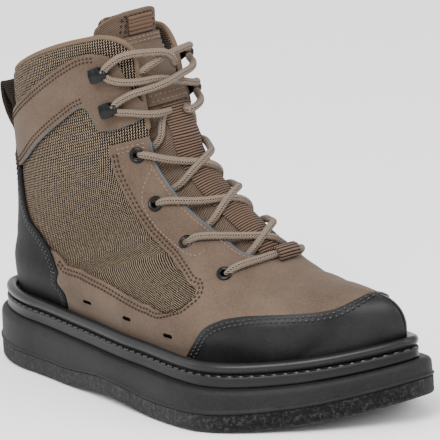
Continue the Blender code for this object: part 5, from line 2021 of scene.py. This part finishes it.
def panel_relief(level, share):
    """The recess, its rim and the bars of the tongue's panel."""
    oval = math.hypot(share * PANEL_HALF / PATCH_HALF_WIDTH, (level - PATCH_LEVEL) / PATCH_HALF_HEIGHT)
    inside = 1 / (1 + math.exp((oval - 1) * 26))
    rim = math.exp(-((oval - 1.10) / 0.09) ** 2)
    from_end = min(level, PANEL_LEVELS[1] - level)
    bars = 1 / (1 + math.exp((from_end - BAR_REACH) * 40))
    return TRIM_LIFT - PATCH_DEPTH * inside + RIM_HEIGHT * rim + BAR_HEIGHT * bars


def make_tongue_panel_look():
    """The panel at the tongue's top, with stitched bars and a bare oval recess."""
    grid = trim_grid(np.linspace(*PANEL_LEVELS, 90), PANEL_HALF, panel_relief)
    obj = open_grid("tongue_badge_panel", grid, NUBUCK)
    wall(obj, OVERLAY, 1.0, 0.0004)
    dress(obj, "nubuck", "tongue_panel")
    high = TRIM_LIFT + OVERLAY + BAR_HEIGHT
    rows = []
    for level in BAR_STITCHES:
        places = [(level, a) for a in np.linspace(-BAR_STITCH_HALF, BAR_STITCH_HALF, 30)]
        rows.append(face_line(places, high, STITCH_LOOK_OUT))
    for edge in (-SIDE_STITCH, SIDE_STITCH):
        places = [(level, edge) for level in np.linspace(0.3, 1.7, 30)]
        rows.append(face_line(places, high - 0.0006, STITCH_LOOK_OUT))
    stitch_rows("badge_panel_stitches", rows, 0.0030, 0.0021, 0.00048, THREAD, "nubuck")


# The tab ends short of the tongue's other edge: as many columns of the trim's grid.
TAB_COLUMNS = 29
TAB_RIBS = 9.0


def make_tab_look():
    """The ribbed tab over the tongue's top."""

    def lift(level, _):
        return TRIM_LIFT + 0.00024 * math.sin(level * 2 * math.pi * TAB_RIBS)

    grid = trim_grid(np.linspace(-0.60, -0.03, 60), TAB_HALF, lift)[:, :TAB_COLUMNS]
    obj = open_grid("tongue_top_tab", grid, TAB_LOOK)
    wall(obj, WEBBING_THICKNESS, 1.0, WEBBING_EDGE)
    dress(obj, "webbing", "tongue_tab")


def make_webbing_look():
    """The webbing down the middle of the tongue."""

    def lift(_, share):
        return TRIM_LIFT + 0.0001 * math.cos(share * math.pi * 8)

    grid = trim_grid(np.linspace(2.02, 8.95, 150), WEBBING_HALF, lift)
    obj = open_grid("tongue_strip", grid, WEBBING_LOOK)
    wall(obj, WEBBING_THICKNESS, 1.0, WEBBING_EDGE)
    dress(obj, "webbing", "tongue_webbing")


# Hardware, loop and keeper


EYELET_TURNS = 40
EYELET_SIDES = 14
EYELET_FLATNESS = 0.8
DOME_TURNS = 28
DOME_LEVELS = 8


def ring_of(name, place, middle, radius, lift, finish):
    """A slightly flat ring round a seat."""
    vertices = []
    for turn in 2 * math.pi * np.arange(EYELET_TURNS) / EYELET_TURNS:
        for roll in 2 * math.pi * np.arange(EYELET_SIDES) / EYELET_SIDES:
            out = middle + radius * math.cos(roll)
            vertices.append(on_seat(place, out * math.cos(turn), out * math.sin(turn),
                                    lift + radius * EYELET_FLATNESS * math.sin(roll)))
    faces = ring_faces(EYELET_TURNS, EYELET_SIDES, joined=True)
    return mesh_object(name, vertices, faces, [finish])


def dome_of(name, place, radius, low, height, finish):
    """A dome over a seat."""
    vertices = []
    for bend in math.pi / 2 * np.arange(DOME_LEVELS + 1) / DOME_LEVELS:
        reach = radius * math.cos(bend)
        for turn in 2 * math.pi * np.arange(DOME_TURNS) / DOME_TURNS:
            vertices.append(on_seat(place, reach * math.cos(turn), reach * math.sin(turn),
                                    low + height * math.sin(bend)))
    faces = [tuple(range(DOME_TURNS))] + ring_faces(DOME_LEVELS + 1, DOME_TURNS)
    return mesh_object(name, vertices, faces, [finish], merge=1e-6)


# How much fuller than the solid's an eyelet's ring is, how high it sits, and the well's place.
RING_FULLNESS = 1.08
RING_SEAT = 0.55
WELL_SINK = 0.0003
WELL_HEIGHT = 0.0004


def make_eyelet_look(which, place, sunk):
    """A metal ring with a well in it, painted near black as the shade inside the hole."""
    radius = (EYELET_DIAMETER - EYELET_HOLE) / 4
    middle = EYELET_DIAMETER / 2 - radius
    base = LEATHER_FACE - sunk
    ring = ring_of("eyelet_ring_" + which, place, middle, radius * RING_FULLNESS,
                   base + radius * RING_SEAT, METAL)
    dress(ring, "black_metal", "eyelet_" + which)
    # The well is painted near black as the shade inside the eyelet's hole.
    well = dome_of("eyelet_well_" + which, place, middle, base - WELL_SINK, WELL_HEIGHT, HOLE_SHADE)
    dress(well, "black_metal")


# The crown across a hook's blade, where it lies higher than this share of its length.
HOOK_CROWN = 0.0010
HOOK_CROWN_START = 0.3
RIVET_LIFT = 0.0005


def make_hook_look(which, place):
    """A bent blade with its rivet."""
    foot = STRAP_FACE + GAP
    run = smooth_path(np.array(HOOK_SIDE) * HOOK_LENGTH, 0.0006)
    grid = []
    for ahead, height, half in run:
        crown = HOOK_CROWN if height > HOOK_CROWN_START * HOOK_LENGTH else 0
        grid += [on_seat(place, ahead, across * half, foot + height + crown * (1 - across * across))
                 for across in np.linspace(-1, 1, 13)]
    blade = mesh_object("hook_blade_" + which, grid, grid_faces(len(run), 13), [METAL])
    wall(blade, HOOK_THICKNESS, 0.0, 0.0003)
    dress(blade, "black_metal", "hook_" + which)
    rivet = dome_of("hook_rivet_" + which, place, RIVET_RADIUS, foot + RIVET_LIFT, RIVET_HEIGHT, METAL)
    dress(rivet, "black_metal")


def make_hardware_look():
    """The eyelets and the hooks on both sides."""
    for side, label in SIDES:
        for number, row in enumerate(EYELETS):
            sunk = row[3 if side < 0 else 4]
            make_eyelet_look("%s_%d" % (label, number + 1), seat_of(row, side), sunk)
        for number, row in enumerate(HOOKS):
            make_hook_look("%s_%d" % (label, number + 1), seat_of(row, side))


def make_loop_look():
    """The pull loop behind the collar."""
    shares = np.linspace(-0.5, 0.5, 21)
    course = smooth_path(LOOP, 0.06)
    grid = np.array([[rear_point(max(number, 0.0), share * LOOP_WIDTH)
                      - np.array([behind * LOOP_THICKNESS, 0, 0]) for share in shares]
                     for number, behind in course])
    rows, columns = grid.shape[:2]
    along = run_lengths(grid[:, columns // 2]) * DECIMETRES
    over = shares * LOOP_WIDTH * DECIMETRES
    uvs = [(over[k], along[i]) for i in range(rows) for k in range(columns)]
    obj = mesh_object("heel_loop", grid.reshape(-1, 3), grid_faces(rows, columns), [LOOP_LOOK], uvs)
    wall(obj, LOOP_THICKNESS, 0.0, 0.0005)
    dress(obj, "loop_webbing", "pull_loop")


def make_keeper_look():
    """The webbing loop over the lowest bar of the lace."""
    grid = []
    for number, height in smooth_path(KEEPER, 0.03):
        row = []
        for share in np.linspace(-1, 1, 17):
            point, normal = front_frame(number, TONGUE_MIDDLE + share * KEEPER_HALF)
            row.append(point + normal * height * LACE_DIAMETER)
        grid.append(row)
    obj = open_grid("bar_keeper", np.array(grid), WEBBING_LOOK)
    wall(obj, WEBBING_THICKNESS, 0.0, WEBBING_EDGE)
    dress(obj, "webbing", "lace_keeper")


# The laces

ROPE = 0.0044
ROPE_STEP = 0.0012
# A rope's ends stay where they are over so many points, and nothing rises further than this.
LACE_FIXED = 4
LACE_RISE = 0.012
# The line down the middle of the boot's inside, from which ropes are pulled outward.
CORE_TOP = (0.0, 0.0, 0.200)
CORE_FOOT = (0.120, 0.0, 0.045)


# How far from the throat's edge a strand goes under it or comes out, how deep and how high there.
EDGE_MARGIN = 0.0035
EDGE_DEPTH = 0.0036
EDGE_RISE = 0.0010


def under_edge(number, side):
    """Where a strand goes in below the eyestay's edge."""
    point, normal = front_frame(number, side * (throat_half(number, side) + EDGE_MARGIN))
    return point - normal * EDGE_DEPTH


def at_edge_inside(number, side):
    """Where a strand lies on the tongue, beside the eyestay's edge."""
    around = side * max(throat_half(number, side) - EDGE_MARGIN, 0.001)
    point, normal = front_frame(number, around)
    face = tongue_face(max(number, TONGUE_SPLIT), around - TONGUE_MIDDLE, 0.0)
    return point + normal * (float(np.dot(face - point, normal)) + EDGE_RISE)


# A strand's end in an eyelet: towards the throat, height over the leather.
EYELET_END = (
    (0.0, -0.0030),
    (0.0003, 0.0),
    (0.0022, 0.0030),
    (0.0062, 0.0040),
)


def into_eyelet(row, side):
    """The end of a strand in an eyelet, from its hole up and towards the throat."""
    place = seat_of(row, side)
    return [on_seat(place, ahead, 0.0, LEATHER_FACE + height) for ahead, height in EYELET_END]


def outward_of(points):
    """For points over the throat, the way out from the line down the middle of the boot's inside."""
    top, foot = np.array(CORE_TOP), np.array(CORE_FOOT)
    line = foot - top
    share = np.clip((points - top) @ line / (line @ line), 0, 1)
    out = points - (top + share[:, None] * line)
    return out / np.linalg.norm(out, axis=1)[:, None]


def rope_course(points, times, pull):
    """A rope's course: eased along the surface, then pulled taut over what it rests on."""
    rest = eased_line(even_line(smooth_path(points, ROPE_STEP), ROPE_STEP), times)
    out = outward_of(rest)
    free = np.ones(len(rest))
    free[:LACE_FIXED] = 0
    free[-LACE_FIXED:] = 0
    raised = np.zeros(len(rest))
    for _ in range(pull):
        course = rest + out * raised[:, None]
        middle = course.copy()
        middle[1:-1] = 0.5 * (course[:-2] + course[2:])
        raised = np.clip(np.sum((middle - rest) * out, axis=1), 0, LACE_RISE) * free
    return eased_line(rest + out * raised[:, None], 14)


def rope(name, points, *nodes, times=50, pull=260):
    """A piece of the lace, eased and pulled so often, which stands for the nodes."""
    obj = tube(name, rope_course(points, times, pull), ROPE / 2, LACE_LOOK, 14)
    return dress(obj, "lace_rope", *nodes)


# The top of the lace, strand by strand between the hooks: section, arc from the ridge and height
# over the form in millimetres.
TOP_NEAR = (
    ((2.00, -14.5, 4.6), (1.95, -20.5, 6.0), (1.85, -27.0, 6.0), (1.76, -32.5, 6.0)),
    ((1.50, -33.0, 6.2), (1.40, -28.5, 6.4), (1.36, -18.5, 7.6), (1.30, -8.5, 8.8), (1.20, -2.0, 8.6),
     (1.12, 10.5, 7.0), (1.02, 21.0, 6.4)),
    ((0.62, 22.0, 6.4), (0.60, 11.5, 5.6), (0.65, -2.0, 4.2), (0.75, -11.0, 3.6), (0.88, -17.0, 2.4),
     (0.98, -20.5, 0.6)),
)
TOP_FAR = (
    ((2.10, 1.5, 4.6), (2.05, 8.0, 6.0), (1.95, 18.0, 6.4)),
    ((1.52, 20.0, 6.4), (1.45, 7.0, 5.6), (1.35, 1.0, 4.6), (1.30, -3.5, 4.2), (1.17, -10.5, 4.6),
     (1.15, -18.0, 5.8), (1.13, -24.0, 6.2), (1.08, -29.5, 6.2), (1.00, -34.5, 6.2)),
    ((0.64, -35.5, 6.2), (0.50, -31.5, 6.4), (0.45, -25.0, 6.6), (0.50, -15.5, 7.2), (0.58, -6.0, 8.0),
     (0.76, -1.5, 6.4), (0.98, 1.0, 2.6)),
)
# How tightly the lace turns round a hook.
TURN_WIDTH = 0.66


def over_form(rows):
    """Points of the lace from rows of one of the two tables."""
    points = []
    for number, around, height in rows:
        point, normal = front_frame(number, around * MILLIMETRE)
        points.append(point + normal * height * MILLIMETRE)
    return points


def round_hook(row, side):
    """The points of the lace round one hook, from below to above."""
    place = seat_of(row, side)
    up = 1 if place[3][2] > 0 else -1
    lift = STRAP_FACE + GAP + HOOK_LACE_LIFT
    return [on_seat(place, ahead * HOOK_LENGTH, up * along * TURN_WIDTH * HOOK_LENGTH, lift)
            for ahead, along in HOOK_TURN]


def make_crossing(number, under, over, low_eyelet):
    """Two strands that cross: each runs from under one eyestay's edge into the other's eyelet."""
    row = EYELETS[low_eyelet]
    first = into_eyelet(row, -1) + strand(under)[1:-1]
    first += [at_edge_inside(under[2], 1), under_edge(under[2], 1)]
    second = [under_edge(over[0], -1), at_edge_inside(over[0], -1)] + strand(over)[1:-1]
    second += into_eyelet(row, 1)[::-1]
    rope("lace_strand_%d_low" % number, first, "lace_crossing_%d" % number)
    rope("lace_strand_%d_high" % number, second)


# Where the top strands start under the panel: level, arc to each side, height.
TOP_START = (2.12, 0.0060, 0.0012)
# The strands that rise from under the eyestays: level, arc in throat half widths, height.
RISE_EDGE = 2.75
RISE = (
    (2.62, 0.86, 0.0022),
    (2.40, 0.74, 0.0026),
    (2.20, 0.62, 0.0024),
    (2.08, 0.40, 0.0006),
)


def make_top_strand(name, side, parts, *nodes):
    """One end of the lace: round the lower hook, across, round the upper hook and across again."""
    level, around, lift = TOP_START
    points = [tongue_face(level, side * around, lift)]
    points += over_form(parts[0]) + round_hook(HOOKS[1], side)
    points += over_form(parts[1]) + round_hook(HOOKS[0], -side) + over_form(parts[2])
    rope(name, points, *nodes, times=6, pull=0)


def make_laces():
    """The whole lace, from its lowest bar to its two ends."""
    low_row = EYELETS[-1]
    bar = into_eyelet(low_row, -1) + strand(LACE_BAR)[1:-1] + into_eyelet(low_row, 1)[::-1]
    rope("lace_low_bar", bar, "lace_bar")
    for number, (under, over) in enumerate(LACE_CROSSINGS):
        make_crossing(number + 1, under, over, 2 - number)
    make_top_strand("lace_top_outer", -1, TOP_NEAR, "lace_at_hooks")
    make_top_strand("lace_top_inner", 1, TOP_FAR)
    for side, label in SIDES:
        line = [tongue_face(level, side * share * THROAT_OUTER, lift) for level, share, lift in RISE]
        rope("lace_rise_" + label, [under_edge(RISE_EDGE, side)] + line, times=6, pull=40)


# Stage, light and camera


FLOOR_HALF = 4
FLOOR_DROP = 0.0006
# The lights: place, size, power. All look at one point of the boot.
LIGHTS = (
    ("key", (0.9, -1.5, 1.7), 1.1, 72),
    ("left", (-1.3, -1.4, 0.9), 1.0, 9),
    ("toe", (1.8, 0.6, 1.0), 0.9, 18),
)
LIGHT_TARGET = (0.08, 0.0, 0.09)
WORLD_STRENGTH = 1.55


def make_stage():
    """The white floor."""
    corners = [(x * FLOOR_HALF, y * FLOOR_HALF, -FLOOR_DROP)
               for x, y in ((-1, -1), (1, -1), (1, 1), (-1, 1))]
    look = plain_finish("floor_look", (0.93, 0.93, 0.93), 0.9, 0.1)
    mesh_object("floor", corners, [(0, 1, 2, 3)], [look])


def area_light(name, place, size, power):
    """A square lamp that looks at the boot."""
    data = bpy.data.lights.new(name, "AREA")
    data.energy = power
    data.size = size
    light = bpy.data.objects.new(name, data)
    bpy.context.scene.collection.objects.link(light)
    light.location = place
    ahead = Vector(LIGHT_TARGET) - Vector(place)
    light.rotation_euler = ahead.to_track_quat("-Z", "Y").to_euler()


def make_lights():
    """A bright even surround and the lamps."""
    world = bpy.data.worlds.new("studio")
    bpy.context.scene.world = world
    world.use_nodes = True
    background = world.node_tree.nodes["Background"]
    background.inputs["Color"].default_value = (1, 1, 1, 1)
    background.inputs["Strength"].default_value = WORLD_STRENGTH
    for light in LIGHTS:
        area_light(*light)


def place_camera():
    """The camera at the photograph's angle, rolled and shifted as there."""
    azimuth = math.radians(CAMERA_AZIMUTH)
    elevation = math.radians(CAMERA_ELEVATION)
    roll = math.radians(CAMERA_ROLL)
    back = Vector((math.sin(azimuth) * math.cos(elevation),
                   -math.cos(azimuth) * math.cos(elevation),
                   math.sin(elevation)))
    right = Vector((math.cos(azimuth), math.sin(azimuth), 0))
    up = back.cross(right)
    turned_right = right * math.cos(roll) + up * math.sin(roll)
    turned_up = up * math.cos(roll) - right * math.sin(roll)
    data = bpy.data.cameras.new("photo_angle")
    data.lens = CAMERA_LENS
    data.sensor_width = 36
    data.shift_x, data.shift_y = CAMERA_SHIFT
    data.clip_start = 0.1
    data.clip_end = 30
    camera = bpy.data.objects.new("photo_angle", data)
    bpy.context.scene.collection.objects.link(camera)
    place = Vector(CAMERA_TARGET) + back * CAMERA_DISTANCE
    turn = Matrix((turned_right, turned_up, back)).transposed().to_4x4()
    camera.matrix_world = Matrix.Translation(place) @ turn
    bpy.context.scene.camera = camera


make_stage()
make_lights()
place_camera()
make_felt()
make_slab()
make_rand_look()
make_bead()
make_channel_stitches()
make_insole_look()
make_upper_look()
make_piping()
make_edge_lines()
make_strap_lines()
make_counter_look()
make_cap_look()
make_leather_look()
make_strap_look()
make_panel_stitches()
make_eyestay_stitches()
make_strap_stitches()
make_black_stitches()
make_drain_slits()
make_tongue_look()
make_tongue_panel_look()
make_tab_look()
make_webbing_look()
make_hardware_look()
make_loop_look()
make_keeper_look()
make_laces()
